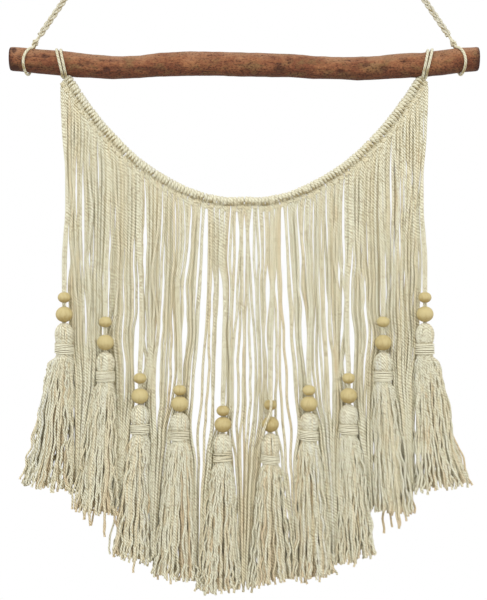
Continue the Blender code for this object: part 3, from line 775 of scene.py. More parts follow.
# Knots and scars: place along the branch, angle round it (0 in front, pi / 2 on top), reach along
# and around, height or depth, and how dark
SCARS = table(
    "x turn along around height dark",
    (-268.0, 0.75, 3.0, 5.0, -0.3, 0.9), (-266.5, -0.95, 4.0, 4.0, -0.3, 0.9),
    (-262.0, 0.2, 2.5, 3.0, -0.3, 0.6), (-249.0, 0.95, 9.0, 2.5, 0.2, 0.5),
    (-232.0, 0.3, 4.0, 3.0, -0.5, 0.8), (-187.0, 0.08, 6.0, 3.5, -0.4, 0.55),
    (-181.0, 0.12, 3.0, 2.5, -0.5, 0.6), (-161.0, -0.35, 4.0, 2.5, -0.5, 0.9),
    (-150.0, -0.2, 9.0, 3.0, -0.3, 0.5),
    (-69.5, 0.75, 3.4, 2.6, 0.5, 0.35), (-42.0, 0.2, 4.0, 2.5, -0.3, 0.4), (-7.5, 0.12, 3.4, 2.6, 0.4, 0.6),
    (42.0, -0.3, 8.0, 6.0, 0.5, 0.6), (52.0, 0.3, 2.0, 9.0, 0.5, 0.5), (112.0, -0.45, 5.0, 3.0, -0.5, 0.75),
    (142.0, 0.1, 4.0, 3.0, -0.4, 0.7), (162.0, -0.3, 5.0, 3.0, -0.4, 0.6), (184.0, 0.35, 4.0, 3.0, 0.4, 0.7),
    (190.0, 0.1, 6.0, 2.5, -0.4, 0.5), (231.0, 0.4, 4.0, 2.5, -0.3, 0.6), (-110.0, 2.9, 6.0, 4.0, 0.6, 0.6),
    (30.0, 2.5, 5.0, 4.0, 0.6, 0.6), (210.0, 3.4, 6.0, 4.0, -0.5, 0.6),
)

# How far from a scar it still tells, the wood's radius in mm, how much a scar swells or sinks, and
# how narrow the dark ring round it is and where it lies
SCAR_REACH = 6.0
WOOD_RADIUS = 13.5
SCAR_SWELL = 1.4
SCAR_NARROW = 1.4
SCAR_RING = 0.3

# How far the wood's middle runs above its solid's, at places along it
BRANCH_LIFT = table(
    "x lift",
    (-275.0, 1.2), (-245.0, 1.0), (-208.0, 0.4), (40.0, 0.4), (80.0, 0.0), (120.0, 0.5), (165.0, 0.5),
    (230.0, 0.0), (262.0, 0.6), (275.0, 0.4),
)

# The wood's swells and ridges: how close they are along and around it, how the finer ones fade and
# shrink, how many sizes there are, and their height
Swell = namedtuple("Swell", "along around fade shrink sizes height")
SWELLS = (Swell(30.8, 0.8008, 1.0, 2.0, 3, 0.55), Swell(48.0, 3.52, 0.9, 2.1, 4, 0.28))

# Ends of the branch: how wide its first rings are, and where they lie on the rounded edge
BRANCH_EDGE = 2.6 * MM
BRANCH_END = ((0.0, 0.0), (0.0, 0.35), (0.0, 0.7), (0.0, 0.9), (0.15, 0.965))
END_BULGE = 0.9 * MM
END_STATION = 2 * MM
WOOD_OUT = 0.15 * MM
WELD = 0.001 * MM

# How dark the wood is near its ends and how far in, on their edges, in its scars and where it is sawn
END_DARK = 0.65
END_DARK_REACH = 8.0 * MM
EDGE_DARK = 0.5
SCAR_DARK = 0.8
SAWN_DARK = 0.9


def branch_surface(x, turn):
    """How far the wood stands out from its round form at x, and how worn and dark it is there."""
    stand = 0.0
    for swell in SWELLS:
        place = Vector((x * swell.along, swell.around * cos(turn), swell.around * sin(turn)))
        stand += noise.fractal(place, swell.fade, swell.shrink, swell.sizes) * swell.height
    around = (turn - SCARS.turn + pi) % FULL_TURN - pi
    reach = ((x / MM - SCARS.x) / SCARS.along) ** 2 + (around * WOOD_RADIUS / SCARS.around) ** 2
    near = reach < SCAR_REACH
    stand += (SCARS.height * np.exp(-reach))[near].sum() * SCAR_SWELL
    dark = (SCARS.dark * np.exp(-((reach - SCAR_RING) ** 2) * SCAR_NARROW))[near].sum()
    return stand * MM, dark


def branch_rows(length, rings):
    """(place, width) of the branch's rings, with the rounded edges of both sawn ends."""
    edge = [(at * BRANCH_EDGE, width) for at, width in BRANCH_END]
    inner = [(at, 1.0) for at in np.linspace(BRANCH_EDGE, length - BRANCH_EDGE, rings)]
    return edge + inner + [(length - at, width) for at, width in reversed(edge)]


def join(mesh, rings):
    """Faces from each ring of points to the next."""
    for near, far in zip(rings, rings[1:]):
        for i, _ in enumerate(near):
            j = (i + 1) % len(near)
            mesh.faces.new((near[i], near[j], far[j], far[i]))


def build_branch():
    wood = settings().branch
    low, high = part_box("branch")
    length = high.x - low.x
    mesh = bmesh.new()
    worn = mesh.verts.layers.float.new(WORN)
    rings = []
    for at, width in branch_rows(length, wood.rings):
        x = low.x + END_BULGE + at * (1 - 2 * END_BULGE / length)
        z, radius = branch_at(min(max(x, low.x + END_STATION), high.x - END_STATION))
        z += np.interp(x / MM, BRANCH_LIFT.x, BRANCH_LIFT.lift) * MM
        bowed = (1 - width**2) * END_BULGE * (1 if at < length / 2 else -1)
        end_dark = END_DARK * max(0.0, 1 - min(at, length - at) / END_DARK_REACH)
        end_dark += EDGE_DARK if width < 1 else 0.0
        ring = []
        for turn in FULL_TURN * np.arange(wood.sides) / wood.sides:
            stand, dark = branch_surface(x, turn)
            reach = (radius + WOOD_OUT) * width + stand * min(1.0, width**3)
            vertex = mesh.verts.new((x - bowed, -reach * cos(turn), z + reach * sin(turn)))
            vertex[worn] = min(1.0, dark * SCAR_DARK + end_dark)
            ring.append(vertex)
        rings.append(ring)
    join(mesh, rings)
    for ring in (rings[0], rings[-1]):
        hub = mesh.verts.new(sum((vertex.co for vertex in ring), Vector()) / len(ring))
        hub[worn] = SAWN_DARK
        for i, vertex in enumerate(ring):
            mesh.faces.new((vertex, ring[(i + 1) % len(ring)], hub))
    bmesh.ops.remove_doubles(mesh, verts=mesh.verts, dist=WELD)
    data = mesh_data("stripped_branch", mesh, WOOD_SHARP)
    place_piece("stripped_branch", data, branch_finish(), "branch_wood", "branch")


# ---- Hanger and ties ----

# Hanger: its bend over the hook with a short flat top, the gap between its legs there, and its foot
HOOK_RADIUS = 9 * MM
HOOK_FLAT = 2 * MM
HOOK_POINTS = 8
HANGER_RADIUS = 3.4 * MM
HANGER_MEET = 0.15 * MM
HANGER_FOOT = np.array((239.6, 0.0, -337.2)) * MM
HANGER_SEEDS = {"left": 11, "right": 12}
LEG_SHARES = np.linspace(0.02, 1, 40)[:, None]

# Braid: its cord's radius, how far that swings aside and in depth, its uneven pace, and its tone
# with how much that varies
BRAID_PERIOD = 25.0 * MM
BRAID_CORD = 1.42 * MM
BRAID_REACH = 2.35 * MM
BRAID_DEPTH = 1.15 * MM
BRAID_STEP = 1.1 * MM
BRAID_UNEVEN = 0.5
BRAID_WAVES = (9.0, 21.0)
BRAID_TONE = (-0.9, 0.1)

# Hanger ties, in mm: how far out their loop lies as it goes round the branch, its two ends and the
# cord laid over the knot, from the knot's middle
TIE_KNOT = np.array((244.9, 0.0, -346.0)) * MM
TIE_COURSE = ((0.0, 247.0), (0.25, 256.8), (0.5, 254.4), (1.0, 247.0))
TIE_ENDS = np.array(((0.0, -1.2, -1.5), (0.0, 1.2, -1.5))) * MM
TIE_ASIDE = np.array((0.9, 0.6, 0.0)) * MM
TIE_OVER = np.array(((-3.4, -1.6, -3.2), (-1.8, -3.6, -0.6), (1.2, -3.8, 1.0), (3.2, -1.8, 3.2))) * MM
TIE_NECK_CORD = 1.15 * MM
TIE_OVER_CORD = 1.2 * MM

# The two strands above the knot: how they close in on each other and how far into the braid they
# reach; and how the knot leans and sits low
TIE_CLOSE = (0.8, 0.6)
TIE_INTO_BRAID = 2 * MM
TIE_LEAN = (0.35, 0, 0)
TIE_LOW = 0.4 * MM

# Header ties, in mm: their cords' middle at the waist and on top of the branch, and how far the two
# cords lie apart at the knot, the waist and the top
HEADER_KNOT = np.array((211.5, 0.0, -384.8)) * MM
HEADER_KNOT_LEAN = (0.55, 0.0, 0.83)
LOOP_WAIST, LOOP_TOP = 210.5, 217.5
KNOT_APART, WAIST_APART, TOP_APART = 3.0, 4.0, 5.0

# Loops round the branch: the share of the turn left open, and their gap to the wood
LOOP_OPENING = 0.035
LOOP_GAP = 0.3 * MM
LOOP_STEP = 1.5 * MM
LOOP_SIDES = 10

# Wraps of a knot: their cord's radius, how often they go round, how flat they are, where they start,
# their cord's sides and its tone
Wraps = namedtuple("Wraps", "cord turns flat phase sides tone")
TIE_WRAPS = Wraps(1.25 * MM, 2.6, 0.9, 0.0, 8, -0.6)
HEADER_WRAPS = Wraps(1.35 * MM, 1.5, 0.95, 0.6, 9, -0.1)
WRAPS_REACH = 2.5 * MM
WRAPS_STEPS = 18

# How closely a knot's wraps lie, how quickly its ends tuck in, and how far
WRAPS_PACKED = 0.96
WRAPS_TUCK = 5
WRAPS_TUCKED = 0.25


def on_side(points, side):
    """Points of the right side, or their mirror image on the left."""
    return np.asarray(points, float) * (side, 1, 1)


def hanger_axis():
    """The right leg's axis from the top of its bend to its foot."""
    centre = np.array((HOOK_FLAT, 0, HANGER_RADIUS - HOOK_RADIUS))
    reach = HANGER_FOOT - centre
    tangent = atan2(reach[2], reach[0]) + acos(HOOK_RADIUS / np.linalg.norm(reach))
    turns = np.linspace(pi / 2, tangent, HOOK_POINTS)
    bend = centre + HOOK_RADIUS * np.stack([np.cos(turns), 0 * turns, np.sin(turns)], axis=1)
    leg = mix(bend[-1], HANGER_FOOT, LEG_SHARES)
    return np.concatenate([[(HANGER_MEET, 0, HANGER_RADIUS)], bend, leg])


def braid(cords, path, rng):
    """Three cords plaited along a path: each swings from side to side and over and under twice as often."""
    length = run_length(path)
    at = np.linspace(0, length[-1], ceil(length[-1] / BRAID_STEP))
    axis = on_path(path, length, at)
    beside = np.cross(unit(np.gradient(axis, axis=0)), DEPTH)
    uneven = wander(rng, 1, at / length[-1], BRAID_UNEVEN, BRAID_WAVES)[0]
    for strand in range(3):
        phase = FULL_TURN * (at / BRAID_PERIOD + strand / 3) + uneven
        swing, over = BRAID_REACH * np.sin(phase), BRAID_DEPTH * np.sin(2 * phase)
        cord = axis + swing[:, None] * beside + over[:, None] * DEPTH
        cords.add(cord, BRAID_CORD, sides=9, tone=rng.normal(*BRAID_TONE), twist_start=rng.uniform(0, 5))


def build_hanger():
    """Both legs of the braid, each with its own bend over the hook."""
    finish = cord_finish("hanger")
    for name, side in SIDES:
        cords = CordMesh()
        braid(cords, on_side(hanger_axis(), side), np.random.default_rng(HANGER_SEEDS[name]))
        cords.piece(f"hanger_braid_{name}", finish, "cotton_cord", f"hanger_{name}")


def round_branch(side, course, up, radius, steps):
    """A cord round the branch by its front, starting above it (up 1) or under it (up -1)."""
    shares = np.linspace(LOOP_OPENING, 1 - LOOP_OPENING, steps)
    x = side * MM * through(*zip(*course), shares)
    turn = FULL_TURN * shares
    z, wood = branch_at(x)
    reach = wood + radius + LOOP_GAP
    return np.stack([x, -reach * np.sin(turn), z + up * reach * np.cos(turn)], axis=1)


def add_wraps(cords, centre, axis, wraps):
    """Adds a cord wound side by side round an axis that lies in the wall's plane."""
    share = np.linspace(0, 1, int(wraps.turns * WRAPS_STEPS))
    turn = wraps.phase + FULL_TURN * wraps.turns * share
    along = (share - 0.5) * wraps.turns * 2 * wraps.cord * WRAPS_PACKED
    from_end = np.minimum(share, 1 - share) * wraps.turns
    reach = WRAPS_REACH * np.clip(from_end * WRAPS_TUCK, WRAPS_TUCKED, 1)
    front, aside = reach * np.cos(turn) * wraps.flat, reach * np.sin(turn)
    path = centre + along[:, None] * axis + front[:, None] * DEPTH + aside[:, None] * np.cross(axis, DEPTH)
    cords.add(path, wraps.cord, wraps.sides, wraps.tone)


def hanger_tie(side, radius):
    """The loop round the branch, two short strands up to the hanger, and the knot between them."""
    cords = CordMesh()
    knot, foot = on_side(TIE_KNOT, side), on_side(HANGER_FOOT, side)
    up = unit(foot - knot)
    start, stop = knot + TIE_ENDS
    loop = [start, *round_branch(side, TIE_COURSE, 1, radius, 48), stop]
    cords.add(smooth_path(loop, LOOP_STEP), radius, LOOP_SIDES, tone=-0.1)
    for aside in (-TIE_ASIDE, TIE_ASIDE):
        halfway, end = (aside * close for close in TIE_CLOSE)
        neck = [knot + aside, (knot + foot) / 2 + halfway, foot + end + up * TIE_INTO_BRAID]
        cords.add(smooth_path(neck, MM), TIE_NECK_CORD, sides=8, tone=-0.6)
    add_wraps(cords, knot - up * TIE_LOW, unit(up + on_side(TIE_LEAN, side)), TIE_WRAPS)
    cords.add(smooth_path(knot + on_side(TIE_OVER, -side), MM), TIE_OVER_CORD, sides=8, tone=-0.2)
    return cords


def header_tie(side, radius):
    """The doubled loop laid over the branch, and the wrapped knot under it."""
    cords = CordMesh()
    knot = on_side(HEADER_KNOT, side)
    for shift in (0.5, -0.5):
        waist, top = LOOP_WAIST + shift * WAIST_APART, LOOP_TOP + shift * TOP_APART
        course = ((0.0, waist), (0.1, waist), (0.5, top), (0.9, waist), (1.0, waist))
        near = knot + on_side((shift * KNOT_APART, 0, 0), side) * MM
        loop = [near - DEPTH * MM, *round_branch(side, course, -1, radius, 56), near + DEPTH * MM]
        cords.add(smooth_path(loop, LOOP_STEP), radius, LOOP_SIDES, tone=-0.45)
    add_wraps(cords, knot, unit(on_side(HEADER_KNOT_LEAN, side)), HEADER_WRAPS)
    return cords


def build_ties():
    """The hanger's loops round the branch with their knots, and the header's doubled loops."""
    finish = cord_finish("tie")
    radius = settings().cord.strand / 2
    for name, side in SIDES:
        hanger_tie(side, radius).piece(f"hanger_tie_{name}", finish, "cotton_cord", f"tie_{name}")
        header_tie(side, radius).piece(f"header_tie_{name}", finish, "cotton_cord", f"header_loop_{name}")


# ---- Header ----

KNOT_COUNT = 85
WRAP_COUNT = 66
KNOT_PITCH = 6.27 * MM
HEADER_TOP = 6.9 * MM
HEADER_FORWARD = 1.0 * MM
HEADER_SEED = 21
DIRECTION_REACH = 3 * MM
KNOT_STEP = 1.35 * MM
WRAP_FLAT = 0.72
WRAP_BITE = 0.6
CARRIER_SHARES = np.linspace(-0.004, 1.004, 200)

# How unlike each other the knots are: along the header, in size, leaning, in droop and in tone
Unlike = namedtuple("Unlike", "place size lean droop tone")
KNOTS_UNLIKE = Unlike(0.045, 0.035, 0.09, 0.55, 0.2)

# Half a knot in (along, up, towards the viewer), the first as a share of its half width, the others
# in mm: up its leg, and behind the cord to the middle of the bar
KNOT_LEG = ((-0.62, -7.5, -0.6), (-0.66, -4.6, -1.3), (-0.8, -1.6, -2.3))
KNOT_BAR = ((-1.1, -1.6, -4.0), (-0.55, -0.9, -5.3), (0.0, -0.8, -5.5))

# The angles of a wrap's points over the cord, and where it ends under it: aside as a share of its
# half width, down and behind
OVER_TURNS = np.linspace(-0.1 * pi, 1.42 * pi, 13)
UNDER_ASIDE = 1.1
UNDER_DOWN = 0.5 * MM
UNDER_BEHIND = 1.0 * MM

# A wrap is raised from just below the cord's middle upwards. Low down it is thinner, and its darker tone
# there is painted shade in the pockets under the knots
RAISED_FROM = 0.7
RAISED_RISE = 0.6
LOW_TONE = 0.4
TONE_FALL = 0.7
LOW_THICKNESS = 0.84

# Where a knot's two strands leave it, aside, down and behind, and the heights of their first points
ROOT_ASIDE = 0.18 * KNOT_PITCH
ROOT_DOWN = 3.0 * MM
ROOT_BEHIND = 1.4 * MM
STRAND_TOP = np.array(((-1.2,), (0.6,), (2.2,))) * MM


def header_places(shares):
    """Places along the header, with its direction and the direction down from it there."""
    half = np.stack([HEADER.x, 0 * HEADER.x, HEADER.z], axis=1) * MM
    path = smooth_path(np.concatenate([on_side(half[:0:-1], -1), half]), MM)
    length = run_length(path)
    at = np.asarray(shares) * length[-1]
    along = on_path(path, length, at + DIRECTION_REACH) - on_path(path, length, at - DIRECTION_REACH)
    along = unit(along)
    return on_path(path, length, at), along, np.cross(DEPTH, along)


def knot_loop(reach, lift):
    """One knot in (along, up, towards the viewer): up a leg, over the cord, behind it, and the same back."""
    half = KNOT_PITCH * KNOT_COUNT / WRAP_COUNT / 4
    over = [(-half, lift + reach * sin(turn), HEADER_FORWARD - reach * cos(turn)) for turn in OVER_TURNS]
    under = [(-UNDER_ASIDE * half, lift - reach - UNDER_DOWN, -UNDER_BEHIND)]
    size = np.array((half, MM, MM))
    points = np.concatenate([KNOT_LEG * size, over, under, KNOT_BAR * size])
    return smooth_path(np.concatenate([points, on_side(points[-2::-1], -1)]), KNOT_STEP)


def build_header():
    """Lark's-head knots side by side on the holding cord: two wraps over it, the bar behind them."""
    cord = settings().cord
    rng = np.random.default_rng(HEADER_SEED)
    radius, carrier = cord.knotted * WRAP_FLAT, cord.carrier / 2
    shares = np.arange(WRAP_COUNT) + 0.5 + rng.normal(0, KNOTS_UNLIKE.place, WRAP_COUNT)
    places, along, down = header_places(shares / WRAP_COUNT)
    reach = carrier + radius * WRAP_BITE
    lift = HEADER_TOP - reach - radius
    loop = knot_loop(reach, lift)
    raised = ramp((loop[:, 1] - lift) / reach * RAISED_RISE + RAISED_FROM)
    ahead, up, front = loop.T[:, None, :, None]
    each = (WRAP_COUNT, 1, 1)
    sizes = 1 + rng.normal(0, KNOTS_UNLIKE.size, each)
    skew = rng.normal(0, KNOTS_UNLIKE.lean, each)
    droop = 1 + (up < 0) * rng.uniform(0, KNOTS_UNLIKE.droop, each)
    knots = places[:, None] + (ahead + skew * up) * along[:, None]
    knots = knots - sizes * droop * up * down[:, None] - sizes * front * DEPTH
    cords = CordMesh()
    # The warmer, darker tone low on each knot is painted shade in the pockets under the knots
    tone = rng.normal(0, KNOTS_UNLIKE.tone, (WRAP_COUNT, 1)) + LOW_TONE - TONE_FALL * raised
    thickness = radius * mix(LOW_THICKNESS, 1, raised)
    cords.add(knots, thickness, sides=8, tone=tone, twist_start=rng.uniform(0, 5, WRAP_COUNT))
    axis, _, drop = header_places(CARRIER_SHARES)
    cords.add(axis - lift * drop - HEADER_FORWARD * DEPTH, carrier, sides=10)
    cords.piece("header_knots", cord_finish("header"), "cotton_cord", "header")


def strand_roots():
    """Where each strand leaves its knot, left to right, and the direction down there."""
    middles, along, down = header_places((np.arange(KNOT_COUNT) + 0.5) / KNOT_COUNT)
    aside = along * ROOT_ASIDE
    places = np.stack([middles - aside, middles + aside], axis=1).reshape(-1, 3)
    down = np.repeat(down, 2, axis=0)
    return places + down * ROOT_DOWN + DEPTH * ROOT_BEHIND, down


def cord_pairs():
    """For each tassel, the number of the knot whose two strands carry it."""
    roots, _ = strand_roots()
    middle = (roots[0::2, 0] + roots[1::2, 0]) / 2
    taken = []
    for number in TASSELS:
        order = np.argsort(np.abs(middle - node_middle(f"bead_small_{number:02d}").x))
        taken.append(next(knot for knot in order.tolist() if knot not in taken))
    return taken


# ---- How the strands part ----

# In mm: how far some tassels' pairs lie beside their beads' middle, the end that marks a strand with
# no bead, how far above its bead a pair is drawn to it and over what length, and how far under its
# root a strand starts to count
PAIR_ASIDE = {3: 1.8, 5: 1.2, 8: -1.8}
NO_BEAD = -2000.0
PULL_FROM = 140.0
PULL_OVER = 100.0
ROOT_CLEAR = 7.0
PAIR_SQUEEZE = 0.9
EVEN_SHARE = 0.6
SMALLEST = 1e-6

# Where the outermost strands turn down past the header's end, in mm: how far out and how far down
# the outermost one does, and how much that changes from one strand to the next
SHOULDER_STRANDS = 8
SHOULDER_OUT = (214.4, -2.3)
SHOULDER_DROP = (397.0, 1.7)


def open_slots(level):
    """The slots open at a level, left to right, as (key, (middle, width)); at the last they have closed."""
    last = level == len(LEVELS) - 1
    level -= last
    found = []
    for number, slot in enumerate(SLOTS):
        if slot.level <= level < slot.level + len(slot.course):
            x, width = slot.course[level - slot.level]
            for side in (-1, 1) if slot.side == 0 else (slot.side,):
                found.append(((number, side), (side * x, 0.0 if last else width)))
    return sorted(found, key=lambda row: row[1][0])


class Spread:
    """x of the strands from level to level, held apart by the open slots. All lengths are in mm."""

    def __init__(self):
        roots, _ = strand_roots()
        self.natural, self.start = roots[:, 0] / MM, roots[:, 2] / MM
        self.count = len(roots)
        self.radius = settings().cord.strand / 2 / MM
        self.ends = np.full(self.count, NO_BEAD)
        self.pulled = np.zeros(self.count)
        self.pairs = [2 * knot for knot in cord_pairs()]
        for number, pair in zip(TASSELS, self.pairs):
            bead = f"bead_small_{number:02d}"
            aside = np.array((-1, 1)) * self.radius * PAIR_SQUEEZE + PAIR_ASIDE.get(number, 0.0)
            self.ends[pair : pair + 2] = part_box(bead)[1].z / MM
            self.pulled[pair : pair + 2] = node_middle(bead).x / MM + aside
        self.before = self.natural.copy()
        self.left_of = {}

    def cuts(self, level, half):
        """(first strand beyond it, left edge, right edge) of each gap, and of the curtain's two sides."""
        cuts = [(0, None, -half)]
        for key, (x, width) in open_slots(level):
            if key not in self.left_of:
                cut = int(np.searchsorted(self.before, x))
                if cut % 2 == 1 and self.ends[min(cut, self.count - 1)] > NO_BEAD:
                    cut += 1 if x > self.before[cut - 1] + self.radius else -1
                self.left_of[key] = cut
            if cuts[-1][0] < self.left_of[key] < self.count:
                cuts.append((self.left_of[key], x - width / 2, x + width / 2))
        return cuts + [(self.count, half, None)]

    def groups(self, first, last, low, high, z):
        """(strands, left edge, right edge) of a part, or of what is beside the strands that start lower."""
        strands = np.arange(first, last)
        waiting = strands[self.start[first:last] <= z + ROOT_CLEAR]
        members = strands[(self.start[first:last] > z + ROOT_CLEAR) & (self.ends[first:last] < z)]
        if len(waiting) == 0:
            return [(members, low, high)] if len(members) else []
        groups = []
        left, right = members[members < waiting[0]], members[members > waiting[-1]]
        if len(left):
            groups.append((left, low, self.natural[left[-1]] + self.radius))
        if len(right):
            groups.append((right, self.natural[right[0]] - self.radius, high))
        return groups

    def spaced(self, group, low, high):
        """x of a group between its edges: partly even, partly as before."""
        inset = min(self.radius, (high - low) / 2)
        even = np.linspace(low + inset, high - inset, len(group))
        if len(group) == 1:
            even = np.array([(low + high) / 2])
        old = self.before[group]
        reach = max(old[-1] - old[0], SMALLEST)
        kept = even[0] + (old - old[0]) / reach * (even[-1] - even[0])
        return mix(kept, even, EVEN_SHARE)

    def make_room(self, here, group, pair, near):
        """Draws a group's other strands together or apart, so that a tassel's pair has its room."""
        wanted = mix(here[pair : pair + 2], self.pulled[pair : pair + 2], near)
        lower, upper = group[group < pair], group[group > pair + 1][::-1]
        for beside, edge in ((lower, wanted[0] - 2 * self.radius), (upper, wanted[1] + 2 * self.radius)):
            if len(beside) < 2:
                continue
            fixed = here[beside[0]]
            room, reach = edge - fixed, here[beside[-1]] - fixed
            if room * reach > 0:
                here[beside] = fixed + (here[beside] - fixed) * (room / reach)

    def at_level(self, level):
        """x of all strands at a level; the levels are taken in turn, from the top."""
        z = LEVELS[level]
        half = np.interp(-z, -CURTAIN_EDGE.z, CURTAIN_EDGE.half_width)
        near = ramp((PULL_FROM - (z - self.ends)) / PULL_OVER) * (self.ends < z) * (self.ends > NO_BEAD)
        here = self.before.copy()
        cuts = self.cuts(level, half)
        for (first, _, low), (last, high, _) in zip(cuts, cuts[1:]):
            for group, left, right in self.groups(first, last, low, high, z):
                here[group] = self.spaced(group, left, right)
                for pair in self.pairs:
                    if pair in group and near[pair] > 0:
                        self.make_room(here, group, pair, near[pair])
        here = mix(here, self.pulled, near)
        self.before = np.maximum.accumulate(here)
        return here


def spread_strands():
    """x of each strand at each level of LEVELS, and the height of the bead on which it ends, in metres."""
    spread = Spread()
    rows = [spread.at_level(level) for level, _ in enumerate(LEVELS)]
    return np.array(rows) * MM, spread.ends * MM


def strand_x(strand, count, places, values, z):
    """x of a strand at the heights z through its places; the outermost first turn down past the header."""
    order = min(strand, count - 1 - strand)
    if order < SHOULDER_STRANDS:
        side = -1 if strand < count / 2 else 1
        out, drop = SHOULDER_OUT[0] + SHOULDER_OUT[1] * order, SHOULDER_DROP[0] + SHOULDER_DROP[1] * order
        places.insert(1, drop * MM)
        values.insert(1, side * out * MM)
    return through(places, values, -z, True)


# ---- Curtain ----

# Where the strands gather between two tassels: how far above their necks they start, over what
# length, how far behind the skirts' edges they still do, how far forward they come, how narrow they
# get at least, how much calmer they are there, and how far from the skirts' hem they end, in mm
GATHER_ABOVE = 50 * MM
GATHER_OVER = 50 * MM
GATHER_BEHIND = 9 * MM
GATHER_FORWARD = 6 * MM
GATHER_PLAY = 0.5 * MM
GATHER_NARROW = 0.3
GATHER_CALM = 0.4
GATHER_HEM = (-1.0, 12.0)
MIDDLE_VALLEY = 4

# Tones: the strands' middle tone and how it varies, the chance of a browner strand and how much
# browner it is, what is added in the middle valley, and in the others the painted light that pales
# the gathered strands where they hang in the skirts' shade
CURTAIN_TONE = (0.3, 0.3)
BROWNER_CHANCE = 0.05
BROWNER = 0.8
MIDDLE_TONE = 0.45
VALLEY_PAINTED_LIGHT = -0.3

# Shares of a strand's length: its first points, and even steps for the rest
CURTAIN_SEED = 31
CURTAIN_STEPS = 64
CURTAIN_FIRST = (0.0, 0.004, 0.009, 0.016)

# Depths of neighbouring strands in mm and how they vary, and over what drop the strands settle
# there from their knots
CURTAIN_LAYERS = (-1.0, 1.3, -0.1, 1.8)
LAYER_PLAY = 0.3 * MM
CURTAIN_BACK = 0.2 * MM
CURTAIN_SETTLE = 0.03
ROOT_SETTLE = 0.04
SMOOTHING = np.array((1, 2, 3, 2, 1)) / 9

# How far strands drift aside and inwards, in waves along their length, how soon they start to, and
# how much calmer the outermost ones are
DRIFT_ASIDE = 1.3 * MM
DRIFT_INWARD = 0.8 * MM
ASIDE_WAVES = (1.5, 4.0, 8.0, 12.0)
INWARD_WAVES = (1.5, 3.0, 7.0)
ASIDE_RISE = 1.2
INWARD_RISE = 3
CALM_STRANDS = 3
CALM = 0.35

# Strands near the sides that cross their neighbours: from how far out, how often, where they begin
# and over what share of their length, how far aside in mm, how far in front, and how far they push
# the nearest ones
STRAY_FROM = 95 * MM
STRAY_CHANCE = 0.16
STRAY_BEGIN = (0.0, 0.3)
STRAY_REACH = (0.25, 0.5)
STRAY_ASIDE = (4.0, 7.5)
STRAY_FORWARD = 3.6 * MM
STRAY_PUSH = ((1, 0.8), (2, 0.5))
STRAY_MARGIN = 4
CROSSING_OVER = 30 * MM

# How uneven the hem is, and how far a level has to lie above it to count
HEM_UNEVEN = 3.5 * MM
END_ASIDE = 1.2 * MM
HEM_CLEAR = 4 * MM

# Tassels' skirts: half their depth at the neck, and how much it grows down to the hem
SKIRT_DEPTH = (11.0 * MM, 2.2 * MM)
FLANK_SLACK = 0.1 * MM
VALLEY_STEPS = 400

# The bound neck of a tassel: its middle, its radius, and its lower and upper end
Neck = namedtuple("Neck", "middle radius low high")

# A tassel with its beads: its middle, the (reach, low, high) of its round parts, its neck's lower
# end, and both edges of its skirt as (x, z) rows from the neck down
Outline = namedtuple("Outline", "middle rounds neck left right")

# The valley between two skirts: the height from which strands gather, how far aside they may be and
# round what x; its middle and half width at the heights z; and its hem
Valley = namedtuple("Valley", "top reach middle z centre half hem")


def neck_of(number):
    low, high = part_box(f"binding_{number:02d}")
    return Neck((low + high) / 2, (high.x - low.x) / 2, low.z, high.z)


def skirt_rows(number):
    """Left and right edges of a tassel's skirt, ring by ring, as (x, z) rows from the neck down."""
    points = node_points(f"tassel_{number:02d}")
    neck = neck_of(number)
    flank = points[np.abs(points[:, 1] - neck.middle.y) < FLANK_SLACK]
    flank = np.unique(np.round(flank[flank[:, 2] < neck.low - 1 * MM], PLACE_DIGITS + 1), axis=0)
    left, right = flank[flank[:, 0] < neck.middle.x], flank[flank[:, 0] >= neck.middle.x]
    left, right = left[np.argsort(-left[:, 2])], right[np.argsort(-right[:, 2])]
    rows = min(len(left), len(right))
    return left[:rows, ::2], right[:rows, ::2]


def skirt_depth(share):
    """Half the depth of a skirt at a share of its length."""
    return SKIRT_DEPTH[0] + SKIRT_DEPTH[1] * share


def edge_at(edge, z):
    """x of a skirt's edge at the height z."""
    return np.interp(-z, -edge[:, 1], edge[:, 0])


def half_chord(radius, aside):
    """Half the width of a circle at a distance from its middle; 0 beside it."""
    return np.sqrt(np.clip(radius**2 - aside**2, 0, None))


def tassel_outlines():
    outlines = []
    for number in TASSELS:
        neck = neck_of(number)
        rounds = [(neck.radius, neck.low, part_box(f"tassel_{number:02d}")[1].z)]
        for kind in ("bead_small", "bead_large"):
            low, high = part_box(f"{kind}_{number:02d}")
            rounds.append(((high.x - low.x) / 2, low.z, high.z))
        outlines.append(Outline(neck.middle, rounds, neck.low, *skirt_rows(number)))
    return outlines


def behind_tassels(outlines, x, z, gap):
    """How far back a strand at (x, z) has to lie to clear the beads, heads and skirts in front of it."""
    back = np.full(len(x), -1.0)
    for tassel in outlines:
        bulges = []
        for reach, below, above in tassel.rounds:
            inside = (z > below - gap) & (z < above + gap)
            bulges.append(inside * half_chord(reach + gap, x - tassel.middle.x))
        left, right = edge_at(tassel.left, z), edge_at(tassel.right, z)
        share = ramp((tassel.neck - z) / (tassel.neck - tassel.left[-1, 1]))
        aside = (x - (left + right) / 2) / ((right - left) / 2 + gap)
        bulges.append((z < tassel.neck) * (skirt_depth(share) + gap) * half_chord(1, aside))
        for bulge in bulges:
            back = np.where(bulge > 0, np.maximum(back, tassel.middle.y + bulge), back)
    return back


def valleys(outlines):
    found = []
    for one, other in zip(outlines, outlines[1:]):
        hems = one.right[-1, 1], other.left[-1, 1]
        z = np.linspace(0, min(hems), VALLEY_STEPS)
        near, far = edge_at(one.right, z), edge_at(other.left, z)
        centre, half = (near + far) / 2, (far - near) / 2
        top = min(one.neck, other.neck) + GATHER_ABOVE
        reach, middle = (np.interp(GATHER_OVER - top, -z, values) for values in (half, centre))
        found.append(Valley(top, reach + GATHER_BEHIND, middle, z, centre, half, max(hems)))
    return found


